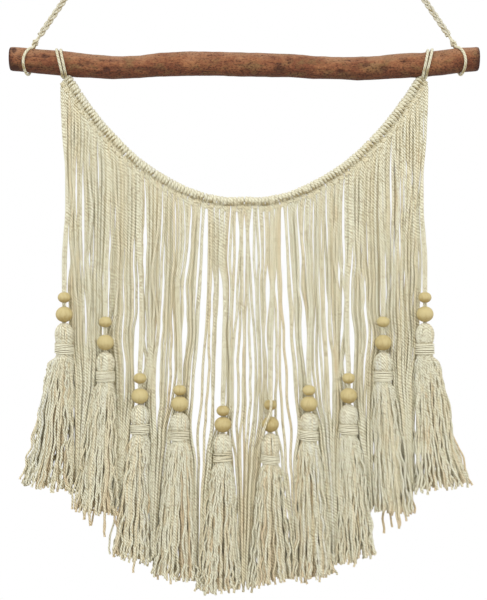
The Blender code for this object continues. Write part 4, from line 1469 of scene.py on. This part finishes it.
class Curtain:
    """The strands that hang free, parted and gathered on their way down to the V-shaped hem."""

    def __init__(self):
        self.rng = rng = np.random.default_rng(CURTAIN_SEED)
        self.radius = settings().cord.strand / 2
        self.roots, self.down = strand_roots()
        self.spread, _ = spread_strands()
        self.count = count = len(self.roots)
        self.at = at = np.concatenate([CURTAIN_FIRST, np.linspace(0, 1, CURTAIN_STEPS)[1:]])
        carried = {strand for knot in cord_pairs() for strand in (2 * knot, 2 * knot + 1)}
        self.free = np.array([i for i in range(count) if i not in carried])
        off = np.abs(self.spread[CROSSING_LEVEL, self.free] - CROSSING.x[0] * MM)
        self.crossing = int(self.free[np.argmin(off)])
        calm = np.sin(pi * np.clip(at * ASIDE_RISE, 0, 0.5))
        self.aside = wander(rng, count, at, DRIFT_ASIDE, ASIDE_WAVES) * calm
        self.aside[:CALM_STRANDS] *= CALM
        self.aside[-CALM_STRANDS:] *= CALM
        self.inward = wander(rng, count, at, DRIFT_INWARD, INWARD_WAVES) * ramp(at * INWARD_RISE)
        self.layer = np.resize(CURTAIN_LAYERS, count) * MM + rng.normal(0, LAYER_PLAY, count)
        self.straying = np.zeros((count, len(at)))
        self.stray(carried | {self.crossing})
        self.outlines = tassel_outlines()
        self.valleys = valleys(self.outlines)

    def stray(self, kept):
        """Lets some strands near the sides, but not those kept, cross their neighbours."""
        rng = self.rng
        for i in range(STRAY_MARGIN, self.count - STRAY_MARGIN):
            begin, reach = rng.uniform(*STRAY_BEGIN), rng.uniform(*STRAY_REACH)
            size = rng.uniform(*STRAY_ASIDE) * MM
            if abs(self.roots[i, 0]) > STRAY_FROM and rng.random() < STRAY_CHANCE and i not in kept:
                bow = self.straying[i] = np.sin(pi * ramp((self.at - begin) / reach)) ** 2
                self.aside[i] += rng.choice((-1, 1)) * size * bow
                for near, share in STRAY_PUSH:
                    self.aside[i - near] += share * self.radius * bow
                    self.aside[i + near] -= share * self.radius * bow

    def course(self, i, start, end, z):
        """x of a strand at the heights z, through its places at the levels between its root and its end."""
        levels = -LEVELS * MM
        below = levels > -start[2] + ROOT_CLEAR * MM
        places = [-start[2], *levels[below], -end]
        values = [start[0], *self.spread[below, i], self.spread[-1, i] + self.rng.normal(0, END_ASIDE)]
        if places[-2] > places[-1] - HEM_CLEAR:
            del places[-2], values[-2]
        return strand_x(i, self.count, places, values, z)

    def depth(self, i, start, x, z, share):
        """y of a strand: from its root back to its layer, behind whatever hangs in front of it."""
        drop = start[2] - z
        needed = behind_tassels(self.outlines, x, z, self.radius)
        needed = np.maximum(needed, CURTAIN_BACK - GATHER_FORWARD * share)
        needed = np.convolve(np.pad(needed, 2, mode="edge"), SMOOTHING, mode="valid")
        deep = self.layer[i] * ramp(drop / CURTAIN_SETTLE) * (1 + share)
        forward = STRAY_FORWARD * np.sqrt(self.straying[i])
        return start[1] * ramp(1 - drop / ROOT_SETTLE) + needed + deep + self.inward[i] - forward

    def strand(self, i):
        """One strand's path, and its tone along it."""
        rng = self.rng
        *lead, start = self.roots[i] + self.down[i] * STRAND_TOP
        last_x = self.spread[-1, i]
        nearest = int(np.argmin([abs(valley.middle - last_x) for valley in self.valleys]))
        valley = self.valleys[nearest]
        gathered = abs(last_x - valley.middle) < valley.reach and i != self.crossing
        end = np.interp(abs(last_x), CURTAIN_HEM.x * MM, CURTAIN_HEM.z * MM) + rng.normal(0, HEM_UNEVEN)
        if gathered:
            end = valley.hem + rng.uniform(*GATHER_HEM) * MM
        z = start[2] + (end - start[2]) * self.at
        x = self.course(i, start, end, z)
        share = np.zeros(len(z))
        if gathered:
            share = ramp((valley.top - z) / GATHER_OVER)
            share = share**2 * (3 - 2 * share)
            squeeze = (np.interp(-z, -valley.z, valley.half) + GATHER_PLAY) / valley.reach
            held = (x - valley.middle) * np.clip(squeeze, GATHER_NARROW, 1)
            x = mix(x, np.interp(-z, -valley.z, valley.centre) + held, share)
        x = x + self.aside[i] * (1 - GATHER_CALM * share)
        y = self.depth(i, start, x, z, share)
        if i == self.crossing:
            taken = ramp((CROSSING.z[0] * MM - z + CROSSING_OVER) / CROSSING_OVER)
            x = mix(x, np.interp(-z / MM, -CROSSING.z, CROSSING.x) * MM, taken)
            y = mix(y, np.interp(-z / MM, -CROSSING.z, CROSSING.y) * MM, taken)
        tone = rng.normal(*CURTAIN_TONE) + (BROWNER if rng.random() < BROWNER_CHANCE else 0.0)
        # In every valley but the middle one the gathered strands are paled: painted light where they hang in
        # the skirts' shade
        gather_tone_and_painted_light = MIDDLE_TONE if nearest == MIDDLE_VALLEY else VALLEY_PAINTED_LIGHT
        tones = np.concatenate([[tone, tone], tone + gather_tone_and_painted_light * share])
        return np.concatenate([lead, np.stack([x, y, z], axis=1)]), tones


def build_curtain():
    """The knots' strands, parted and gathered as they hang, down to the V-shaped hem."""
    curtain = Curtain()
    paths, tones = zip(*(curtain.strand(i) for i in curtain.free))
    cords = CordMesh()
    twist_start = curtain.rng.uniform(0, 9, len(paths))
    cords.add(paths, curtain.radius, sides=7, tone=np.array(tones), twist_start=twist_start)
    cords.piece("string_curtain", cord_finish("curtain"), "strand_cord", "fringe")


# ---- Bead cords and beads ----

# Bead cords: how far each strand lies from the bore's middle and how thin it is squeezed there, how
# far a level has to lie above the beads to count, and the points above them and through them
BEAD_CORD_SEED = 40
BEAD_CORD_ASIDE = 1.18 * MM
BEAD_CORD_INSIDE = 1.22 * MM
BEAD_CLEAR = 16 * MM
UPPER_STEPS = 36
BORE_STEPS = 14

# Beads: the bore's radius, how far its rims are rounded, and how deep
BEAD_SEED = 51
BORE = 2.4 * MM
BORE_RIM = 0.12 * MM
BORE_CHAMFER = 0.08 * MM
RIM_FALL = 0.05 * MM
RIM_DEPTH = 0.5 * MM
DARKER_BEADS = (5, 6)


def bead_cord(number, strand, side, roots, down, spread):
    """Path and radius of one strand of a pair, from its knot through both beads into the tassel."""
    small = node_middle(f"bead_small_{number:02d}")
    bead_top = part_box(f"bead_small_{number:02d}")[1].z
    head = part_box(f"tassel_{number:02d}")[1].z
    *lead, start = roots[strand] + down[strand] * STRAND_TOP
    upper = start[2] + (bead_top + 2 * MM - start[2]) * np.linspace(0, 1, UPPER_STEPS) ** 1.25
    z = np.concatenate([upper, np.linspace(bead_top - 1 * MM, head - 3 * MM, BORE_STEPS)])
    levels = -LEVELS * MM
    below = (levels > -start[2] + ROOT_CLEAR * MM) & (levels < -bead_top - BEAD_CLEAR)
    inside = small.x + side * BEAD_CORD_ASIDE
    values = [start[0], *spread[below, strand], inside, inside]
    x = strand_x(strand, len(roots), [-start[2], *levels[below], -bead_top, -head], values, z)
    share = ramp((start[2] - z) / (start[2] - bead_top))
    y = start[1] + (small.y - start[1]) * share**1.3
    path = np.concatenate([lead, np.stack([x, y, z], axis=1)])
    return path, np.where(path[:, 2] > bead_top, settings().cord.strand / 2, BEAD_CORD_INSIDE)


def build_bead_cords():
    """The two strands of one knot that run together through the beads to each tassel."""
    finish = cord_finish("bead_cord")
    roots, down = strand_roots()
    spread, _ = spread_strands()
    for number, knot in zip(TASSELS, cord_pairs()):
        rng = np.random.default_rng(BEAD_CORD_SEED + number)
        cords = CordMesh()
        for side, strand in ((-1, 2 * knot), (1, 2 * knot + 1)):
            path, radius = bead_cord(number, strand, side, roots, down, spread)
            cords.add(path, radius, sides=8, tone=rng.normal(0.2, 0.2), twist_start=rng.uniform(0, 9))
        cords.piece(f"bead_cord_pair_{number:02d}", finish, "strand_cord", f"bead_cord_{number:02d}")


def bead_profile(radius, half_height, rings):
    """(reach, height) of a bead's section: its bulge from hole to hole, and back along its bore."""
    half = min(half_height / (1 - (BORE / radius) ** 2) ** 0.5, radius)
    rim = acos(min(1.0, (BORE + BORE_RIM) / radius))
    bulge = [(radius * cos(turn), half * sin(turn)) for turn in np.linspace(-rim, rim, rings)]
    end = bulge[-1][1]
    upper = [(BORE + BORE_CHAMFER, end - RIM_FALL), (BORE, end - RIM_DEPTH)]
    lower = [(reach, -height) for reach, height in reversed(upper)]
    return [*bulge, *upper, (BORE, 0.0), *lower]


def build_beads():
    """Twenty turned beads, each with its bore, its two rims softened."""
    bead = settings().bead
    finish = bead_finish()
    rng = np.random.default_rng(BEAD_SEED)
    for node in [f"bead_{kind}_{number:02d}" for kind in ("small", "large") for number in TASSELS]:
        middle, half = node_middle(node), node_half(node)
        shade = rng.uniform(-0.1, 0.2) + (0.3 if int(node[-2:]) in DARKER_BEADS else 0.0)
        spin = rng.uniform(0, FULL_TURN)
        mesh = bmesh.new()
        tone = mesh.verts.layers.float.new(TONE)
        columns = []
        for turn in spin + FULL_TURN * np.arange(bead.around) / bead.around:
            column = []
            for reach, height in bead_profile(half.x, half.z, bead.rings):
                vertex = mesh.verts.new(middle + Vector((reach * cos(turn), reach * sin(turn), height)))
                vertex[tone] = shade + (0.5 if reach <= BORE + BORE_CHAMFER else 0.0)
                column.append(vertex)
            columns.append(column)
        join(mesh, columns + columns[:1])
        name = f"{node}_turned"
        place_piece(name, mesh_data(name, mesh, BEAD_SHARP), finish, "bead_wood", node)


# ---- Tassels ----

# In mm, by tassel: how much further its skirt's left and right edge reach at the hem, and how much
# higher its hem lies at the left and at the right
EDGE_REACH = {
    2: (3.5, 0.0), 3: (0.0, 0.5), 4: (0.5, 2.0), 5: (1.0, 1.0), 6: (1.0, 0.0), 7: (2.0, 0.5), 9: (0.0, 3.5)
}
HEM_TRIM = {1: (-3.6, 1.6), 4: (3.5, 3.5), 5: (0.0, 3.5), 6: (1.0, 2.5), 7: (6.0, 3.5), 10: (1.6, -3.6)}
NO_CHANGE = (0.0, 0.0)

TASSEL_SEED = 60
GOLDEN_TURN = pi * (3 - 5**0.5)
CROWN_STEPS = 13
NECK_STEPS = 4
SKIRT_STEPS = 38

# Head and neck: the share of a strand's way over the head that is round, the gap and the hole at its
# top, the height of its dome, and how far inside the binding the strands lie
CROWN_SHARE = 0.6
CROWN_GAP = 0.9 * MM
CROWN_HOLE = 1.2 * MM
DOME = 12.0 * MM
NECK_INSET = 2.9 * MM

# Skirt: how uneven its lengths are, how many strands cross their neighbours and how far, how far the
# tips flick aside, and how far the skirt and its outermost strands reach past its solid's edges
LENGTH_UNEVEN = 0.017
CROSSING_CHANCE = 0.3
CROSSING_REACH = 5.0 * MM
TIP_FLICK = 1.8 * MM
SKIRT_PLAY = 0.5 * MM
EDGE_OVER = 0.2 * MM
STRAY_BEFORE = 1.5 * MM

# Thickness: how it varies, how much the inner bundles swell, and how much every tip is frayed
THICKNESS = (0.88, 1.05)
BUNDLE_SWELL = 1.7
TIP_FRAY = 1.12
CORE_RADIUS = 7.8 * MM
CORE_TAPER = (0.3, 0.8, 1, 1, 1, 1, 1, 0.8)
TAN_TIPS = (2, 9)

# Binding: its cord against its pitch, how far it stands out, wavers, and tucks in its ends
BINDING_CORD = 0.41
BINDING_STEPS = 28
BINDING_OUT = 0.55 * MM
BINDING_WAVER = 0.15 * MM
BINDING_TUCK = 2 * MM
MESSY_BINDING = 5
MESSY = 3.4


def circle(turn):
    return np.stack([np.cos(turn), np.sin(turn)], axis=1)


def disc(count, inner, outer):
    """Evenly scattered points of a ring between two radii."""
    number = np.arange(count)
    reach = np.sqrt(inner**2 + (outer**2 - inner**2) * (number + 0.5) / count)
    return reach[:, None] * circle(number * GOLDEN_TURN)


def tassel_layout(rng):
    """Each strand's place in the neck and in the skirt, as points of a disc, the outer strands first."""
    tassel = settings().tassel
    turn = FULL_TURN * (np.arange(tassel.outer) + rng.normal(0, 0.12, tassel.outer)) / tassel.outer
    clumps = rng.integers(6, 9)
    clumped = turn + 0.3 / clumps * np.sin(clumps * turn + rng.uniform(0, FULL_TURN))
    second = FULL_TURN * (np.arange(tassel.middle) + rng.uniform(-0.3, 0.3, tassel.middle)) / tassel.middle
    inner = disc(tassel.inner, 0.15, 0.55)
    neck = np.concatenate([circle(turn), 0.84 * circle(second), inner])
    return neck, np.concatenate([circle(clumped), 0.82 * circle(second), inner])


def skirt_edges(number, at):
    """(x, z) of the skirt's left and right edge at the shares `at` of its length."""
    sides = []
    for side, rows, more in zip((-1, 1), skirt_rows(number), EDGE_REACH.get(number, NO_CHANGE)):
        share = np.linspace(0, 1, len(rows))
        x, z = (np.interp(at, share, column) for column in rows.T)
        if number == (TASSELS[0] if side < 0 else TASSELS[-1]):
            x = side * np.interp(-z / MM, -OUTER_SKIRT.z, OUTER_SKIRT.reach) * MM
        sides += [x + side * more * MM * at**3, z]
    return sides


def skirt_paths(number, rng, places, fall, middle, neck_reach):
    """The strands' paths down the skirt, each with its own unrest; some cross their neighbours."""
    tassel = settings().tassel
    radius = settings().cord.tassel_strand / 2
    count = len(places)
    down = np.linspace(0, 1, SKIRT_STEPS)
    reach_down = down * (1 + rng.normal(0, LENGTH_UNEVEN, (count, 1)))
    loose = ramp(down * 3.0) * (0.8 + 0.5 * down**2)
    drift_x = wander(rng, count, down, tassel.unrest, (1.2, 3.0)) * loose
    drift_y = wander(rng, count, down, tassel.unrest * 0.7, (1.0, 3.0)) * loose
    drift_x += wander(rng, count, down, tassel.crimp, (5.0, 8.0)) * ramp(down * 6.0)
    crossing = (rng.random(count) < CROSSING_CHANCE) * rng.normal(0, CROSSING_REACH, count)
    drift_x += crossing[:, None] * down * (1.4 - 0.6 * down)
    ring = 1 - np.abs(rng.normal(0, 0.05, count)) - 0.05 * (np.arange(count) % 2) + 0.06 * (crossing != 0)
    ring = ring[:, None] + wander(rng, count, down, 0.16, (3.0, 6.0))
    ring[tassel.outer :] = 1.0
    at = ramp(reach_down)
    drift_x += rng.normal(0, TIP_FLICK, (count, 1)) * at**4

    left_x, left_z, right_x, right_z = skirt_edges(number, at)
    half = (right_x - left_x) / 2 + (0.0 if number in (TASSELS[0], TASSELS[-1]) else SKIRT_PLAY)
    swing = np.minimum((1 - (radius - EDGE_OVER) / half) * ring, 1.0)
    (neck_a, neck_b), (fall_a, fall_b) = places.T[:, :, None], fall.T[:, :, None]
    to_right = (1 + neck_a) / 2
    start = ramp(down * 18 + 0.25)
    x = mix(middle.x + neck_a * neck_reach, (left_x + right_x) / 2 + fall_a * half * swing + drift_x, start)
    y = middle.y + fall_b * (skirt_depth(at) - radius) * ring + drift_y
    y = mix(middle.y + neck_b * neck_reach, y, start)
    rows = skirt_rows(number)[0]
    beyond = ramp(reach_down - 1) * (rows[0, 1] - rows[-1, 1])
    trim = mix(*HEM_TRIM.get(number, NO_CHANGE), to_right) * MM
    return np.stack([x, y, mix(left_z, right_z, to_right) - beyond + trim * at**2], axis=-1)


def upright_paths(places, neck, top, bottom, steps):
    """Straight paths down, side by side round the neck's middle."""
    paths = np.empty((len(places), steps, 3))
    paths[:, :, :2] = places[:, None] + neck.middle.xy
    paths[:, :, 2] = np.linspace(top, bottom, steps)
    return paths


def crown_paths(number, rng, places, neck, neck_reach):
    """The outer strands' paths over the head, and the others' straight into the neck."""
    outer = settings().tassel.outer
    head_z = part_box(f"tassel_{number:02d}")[1].z
    height = head_z - neck.high
    dome = min(DOME, height * 0.55)
    round_head = neck.radius + EDGE_OVER - settings().cord.tassel_strand / 2
    crown = np.linspace(0, 1, CROWN_STEPS)
    over = ramp(crown / CROWN_SHARE) * pi / 2
    sunk = ramp((crown - CROWN_SHARE) / (1 - CROWN_SHARE))
    reach = np.maximum(round_head * np.sin(over), CROWN_HOLE)
    reach = reach + (neck_reach + 0.3 * MM - round_head) * sunk**2
    crown_z = head_z - CROWN_GAP - dome * (1 - np.cos(over)) - (height - CROWN_GAP - dome) * sunk
    wobble, lean = rng.normal(0, (0.014, 0.1), (outer, 2)).T[:, :, None]
    around = np.arctan2(places[:outer, 1], places[:outer, 0])[:, None] + lean * (1 - crown)
    reach = reach * (1 + wobble)
    paths = upright_paths(places * neck_reach, neck, neck.high + 6 * MM, neck.high, CROWN_STEPS)
    paths[:outer, :, 0] = neck.middle.x + np.cos(around) * reach
    paths[:outer, :, 1] = neck.middle.y + np.sin(around) * reach
    paths[:outer, :, 2] = crown_z
    return paths


def tassel_paths(number, rng):
    """Paths of all strands of one tassel: over the head, through the neck and down the skirt."""
    neck = neck_of(number)
    reach = neck.radius - NECK_INSET
    places, fall = tassel_layout(rng)
    skirt = skirt_paths(number, rng, places, fall, neck.middle, reach)
    crown = crown_paths(number, rng, places, neck, reach)
    bound = upright_paths(places * reach, neck, neck.high - 1 * MM, neck.low + 0.5 * MM, NECK_STEPS)
    return np.concatenate([crown, bound, skirt], axis=1)


def stray_paths(number, paths):
    """Copies of outer strands, drawn longer and aside as STRAYS says."""
    ends = paths[: settings().tassel.outer, -1, 0]
    share = ramp(np.linspace(-1.6, 1, paths.shape[1]))
    strays = []
    for stray in STRAYS:
        if stray.tassel == number:
            wanted = (ends.min() + ends.max()) / 2 + stray.across * np.ptp(ends) / 2
            path = paths[int(np.argmin(np.abs(ends - wanted)))].copy()
            path[:, 2] -= stray.longer * MM * share**2
            path[:, 0] += (stray.bow * np.sin(pi * share) + stray.aside * share**2) * MM
            path[:, 1] -= STRAY_BEFORE * share
            strays.append(path)
    return np.array(strays).reshape(-1, *paths.shape[1:])


def tassel_strands(number, rng):
    """All strands of a tassel, thin outside and in thick bundles inside, round a plain core."""
    tassel = settings().tassel
    neck = neck_of(number)
    paths = tassel_paths(number, rng)
    count, steps, _ = paths.shape
    paths = np.concatenate([paths, stray_paths(number, paths)])
    bundle = np.ones((len(paths), steps))
    swelling = np.sin(pi * ramp(np.linspace(-0.55, 1.05, steps))) ** 0.6
    bundle[count - tassel.inner : count] += BUNDLE_SWELL * swelling
    tones = rng.normal(0.05, 0.3, len(paths)) + np.where(rng.random(len(paths)) < 0.08, 1.0, 0.0)
    tones[tassel.outer + tassel.middle // 2 :] += 0.9
    tips = ramp(np.linspace(-9.0, 1.0, steps)) * (0.9 if number in TAN_TIPS else 0.4)
    radius = settings().cord.tassel_strand / 2 * rng.uniform(*THICKNESS, (len(paths), 1)) * bundle
    radius[:, -1] *= TIP_FRAY
    cords = CordMesh()
    twist_start = rng.uniform(0, 9, len(paths))
    cords.add(paths, radius, sides=6, tone=tones[:, None] + tips, twist_start=twist_start)
    core = upright_paths(np.zeros((1, 2)), neck, neck.high + 13 * MM, neck.low - 5 * MM, len(CORE_TAPER))
    cords.add(core, CORE_RADIUS * np.array(CORE_TAPER), sides=14, tone=0.3)
    return cords


def neck_binding(number, rng):
    """The cord wound round a tassel's neck, a little unevenly, its ends tucked in."""
    turns = settings().tassel.turns
    neck = neck_of(number)
    height = neck.high - neck.low
    pitch = height / turns
    messy = number == MESSY_BINDING
    uneven = (MESSY if messy else 1.0) * MM
    share = np.linspace(0, 1, turns * BINDING_STEPS)
    turn = rng.uniform(0, FULL_TURN) + FULL_TURN * turns * share
    z = neck.high - pitch / 2 - (height - pitch) * share
    z = z + 0.22 * uneven * np.sin(turn * 0.83 + rng.uniform(0, 6)) + 0.16 * uneven * np.sin(turn * 1.37)
    z = z + rng.normal(0, 0.045) * (np.cos(turn) * 9 * MM)
    reach = neck.radius - pitch / 2 + BINDING_OUT + BINDING_WAVER * np.sin(turn * 2.1 + rng.uniform(0, 6))
    reach = reach - ramp(1 - np.minimum(share, 1 - share) * 60) * BINDING_TUCK
    winding = CordMesh()
    path = np.column_stack([reach[:, None] * circle(turn) + neck.middle.xy, z])
    tone = rng.normal(0.0, 0.1) + (0.5 if messy else 0.0)
    winding.add(path, pitch * BINDING_CORD, sides=10, tone=tone)
    return winding


def build_tassels():
    """Ten tassels of folded strands, and the cord wound round each neck."""
    finish, bound = cord_finish("tassel"), cord_finish("binding")
    for number in TASSELS:
        rng = np.random.default_rng(TASSEL_SEED + number)
        strands, winding = tassel_strands(number, rng), neck_binding(number, rng)
        strands.piece(f"tassel_strands_{number:02d}", finish, "cotton_cord", f"tassel_{number:02d}")
        winding.piece(f"neck_binding_{number:02d}", bound, "cotton_cord", f"binding_{number:02d}")


# ---- Stage ----

# Camera: the sensor's width in mm, and how far before the wall's plane the view's height is meant
SENSOR = 36.0
FRONT = 4 * MM

# Sky: how high, from straight down (0) to straight up (1), its white begins and is full
HORIZON = (0.25, 0.37)
WHITE = (1.0, 1.0, 1.0)

# Floor: in metres, and how far it lies under the hanging
FLOOR_RADIUS = 4.2
FLOOR_SIDES = 128
FLOOR_BELOW = 1.15

# Lamps: place and size in metres
Lamp = namedtuple("Lamp", "place size")
KEY_LAMP = Lamp((-0.9, -1.7, 0.9), 0.8)
FILL_LAMP = Lamp((1.4, -1.6, 0.1), 1.2)


def place_lamp(name, lamp, target, power):
    data = bpy.data.lights.new(name, "AREA")
    data.shape = "SQUARE"
    data.size = lamp.size
    data.energy = power
    piece = bpy.data.objects.new(name, data)
    piece.location = lamp.place
    piece.rotation_euler = (Vector(target) - Vector(lamp.place)).to_track_quat("-Z", "Y").to_euler()
    bpy.context.scene.collection.objects.link(piece)


def light_sky(scene, stage):
    """Even daylight, white above the horizon and greyer under it."""
    world = bpy.data.worlds.new("studio_daylight")
    world.use_nodes = True
    sky = Nodes(world.node_tree)
    height = sky.parts(sky.add("ShaderNodeTexCoord").outputs["Generated"])[2]
    colours = sky.add("ShaderNodeValToRGB", None, {0: height * 0.5 + 0.5})
    for element, position, colour in zip(colours.color_ramp.elements, HORIZON, (stage.below, WHITE)):
        element.position = position
        element.color = (*colour, 1.0)
    background = sky.tree.nodes["Background"]
    background.inputs["Strength"].default_value = stage.daylight
    sky.feed(background.inputs["Color"], colours.outputs[0])
    scene.world = world


def place_camera(scene, stage):
    data = bpy.data.cameras.new("camera")
    data.lens = stage.lens
    data.sensor_width = SENSOR
    camera = bpy.data.objects.new("camera", data)
    camera.location = (stage.view_x, -stage.view_height * stage.lens / SENSOR - FRONT, stage.view_z)
    camera.rotation_euler = (pi / 2, 0, 0)
    scene.collection.objects.link(camera)
    scene.camera = camera


def build_stage():
    stage = settings().stage
    scene = bpy.context.scene
    scene.view_settings.view_transform = "Standard"
    scene.view_settings.look = "None"
    scene.view_settings.exposure = 0.0
    scene.view_settings.gamma = 1.0
    light_sky(scene, stage)
    place_camera(scene, stage)
    target = (0, 0, stage.view_z)
    place_lamp("key_lamp", KEY_LAMP, target, stage.key)
    place_lamp("fill_lamp", FILL_LAMP, target, stage.fill)

    mesh = bmesh.new()
    bmesh.ops.create_circle(mesh, cap_ends=True, segments=FLOOR_SIDES, radius=FLOOR_RADIUS)
    floor = bpy.data.objects.new("floor", mesh_data("floor", mesh, WOOD_SHARP))
    floor.data.materials.append(floor_finish())
    floor.location = (0, 0, CAD_BOX[0].z - FLOOR_BELOW)
    scene.collection.objects.link(floor)


# ---- Operators, panel and registration ----


class HANGING_OT_stage(bpy.types.Operator):
    """Set up the camera, the light and the floor"""

    bl_idname = "hanging.stage"
    bl_label = "Stage"

    def execute(self, context):
        build_stage()
        return {"FINISHED"}


class HANGING_OT_branch(bpy.types.Operator):
    """Carve the bark-stripped branch"""

    bl_idname = "hanging.branch"
    bl_label = "Branch"

    def execute(self, context):
        build_branch()
        return {"FINISHED"}


class HANGING_OT_hanger(bpy.types.Operator):
    """Plait the hanger"""

    bl_idname = "hanging.hanger"
    bl_label = "Hanger"

    def execute(self, context):
        build_hanger()
        return {"FINISHED"}


class HANGING_OT_ties(bpy.types.Operator):
    """Tie the hanger and the header to the branch"""

    bl_idname = "hanging.ties"
    bl_label = "Ties"

    def execute(self, context):
        build_ties()
        return {"FINISHED"}


class HANGING_OT_header(bpy.types.Operator):
    """Knot the header along its holding cord"""

    bl_idname = "hanging.header"
    bl_label = "Header"

    def execute(self, context):
        build_header()
        return {"FINISHED"}


class HANGING_OT_curtain(bpy.types.Operator):
    """Hang the header's strands"""

    bl_idname = "hanging.curtain"
    bl_label = "Curtain"

    def execute(self, context):
        build_curtain()
        return {"FINISHED"}


class HANGING_OT_beads(bpy.types.Operator):
    """Turn the beads and string them on their cords"""

    bl_idname = "hanging.beads"
    bl_label = "Beads"

    def execute(self, context):
        build_bead_cords()
        build_beads()
        return {"FINISHED"}


class HANGING_OT_tassels(bpy.types.Operator):
    """Fold and bind the tassels"""

    bl_idname = "hanging.tassels"
    bl_label = "Tassels"

    def execute(self, context):
        build_tassels()
        return {"FINISHED"}


OPERATORS = (
    HANGING_OT_stage,
    HANGING_OT_branch,
    HANGING_OT_hanger,
    HANGING_OT_ties,
    HANGING_OT_header,
    HANGING_OT_curtain,
    HANGING_OT_beads,
    HANGING_OT_tassels,
)


class HANGING_PT_sidebar(bpy.types.Panel):
    """Lists the hanging's pieces in the order in which they are made"""

    bl_idname = "HANGING_PT_sidebar"
    bl_label = "Wall Hanging"
    bl_space_type = "VIEW_3D"
    bl_region_type = "UI"
    bl_category = "Wall Hanging"

    def draw(self, context):
        for operator in OPERATORS:
            self.layout.operator(operator.bl_idname)
        for group in ("cord", "branch", "bead", "tassel", "stage"):
            box = self.layout.box()
            box.label(text=group.capitalize())
            values = getattr(context.scene.hanging, group)
            for name in values.__annotations__:
                box.prop(values, name)


GROUPS = (CordSettings, BranchSettings, BeadSettings, TasselSettings, StageSettings, HangingSettings)


def register():
    for cls in (*GROUPS, *OPERATORS, HANGING_PT_sidebar):
        bpy.utils.register_class(cls)
    bpy.types.Scene.hanging = bpy.props.PointerProperty(type=HangingSettings)


def unregister():
    del bpy.types.Scene.hanging
    for cls in reversed((*GROUPS, *OPERATORS, HANGING_PT_sidebar)):
        bpy.utils.unregister_class(cls)


def main():
    register()
    for operator in OPERATORS:
        group, name = operator.bl_idname.split(".")
        getattr(getattr(bpy.ops, group), name)()


if __name__ == "__main__":
    main()
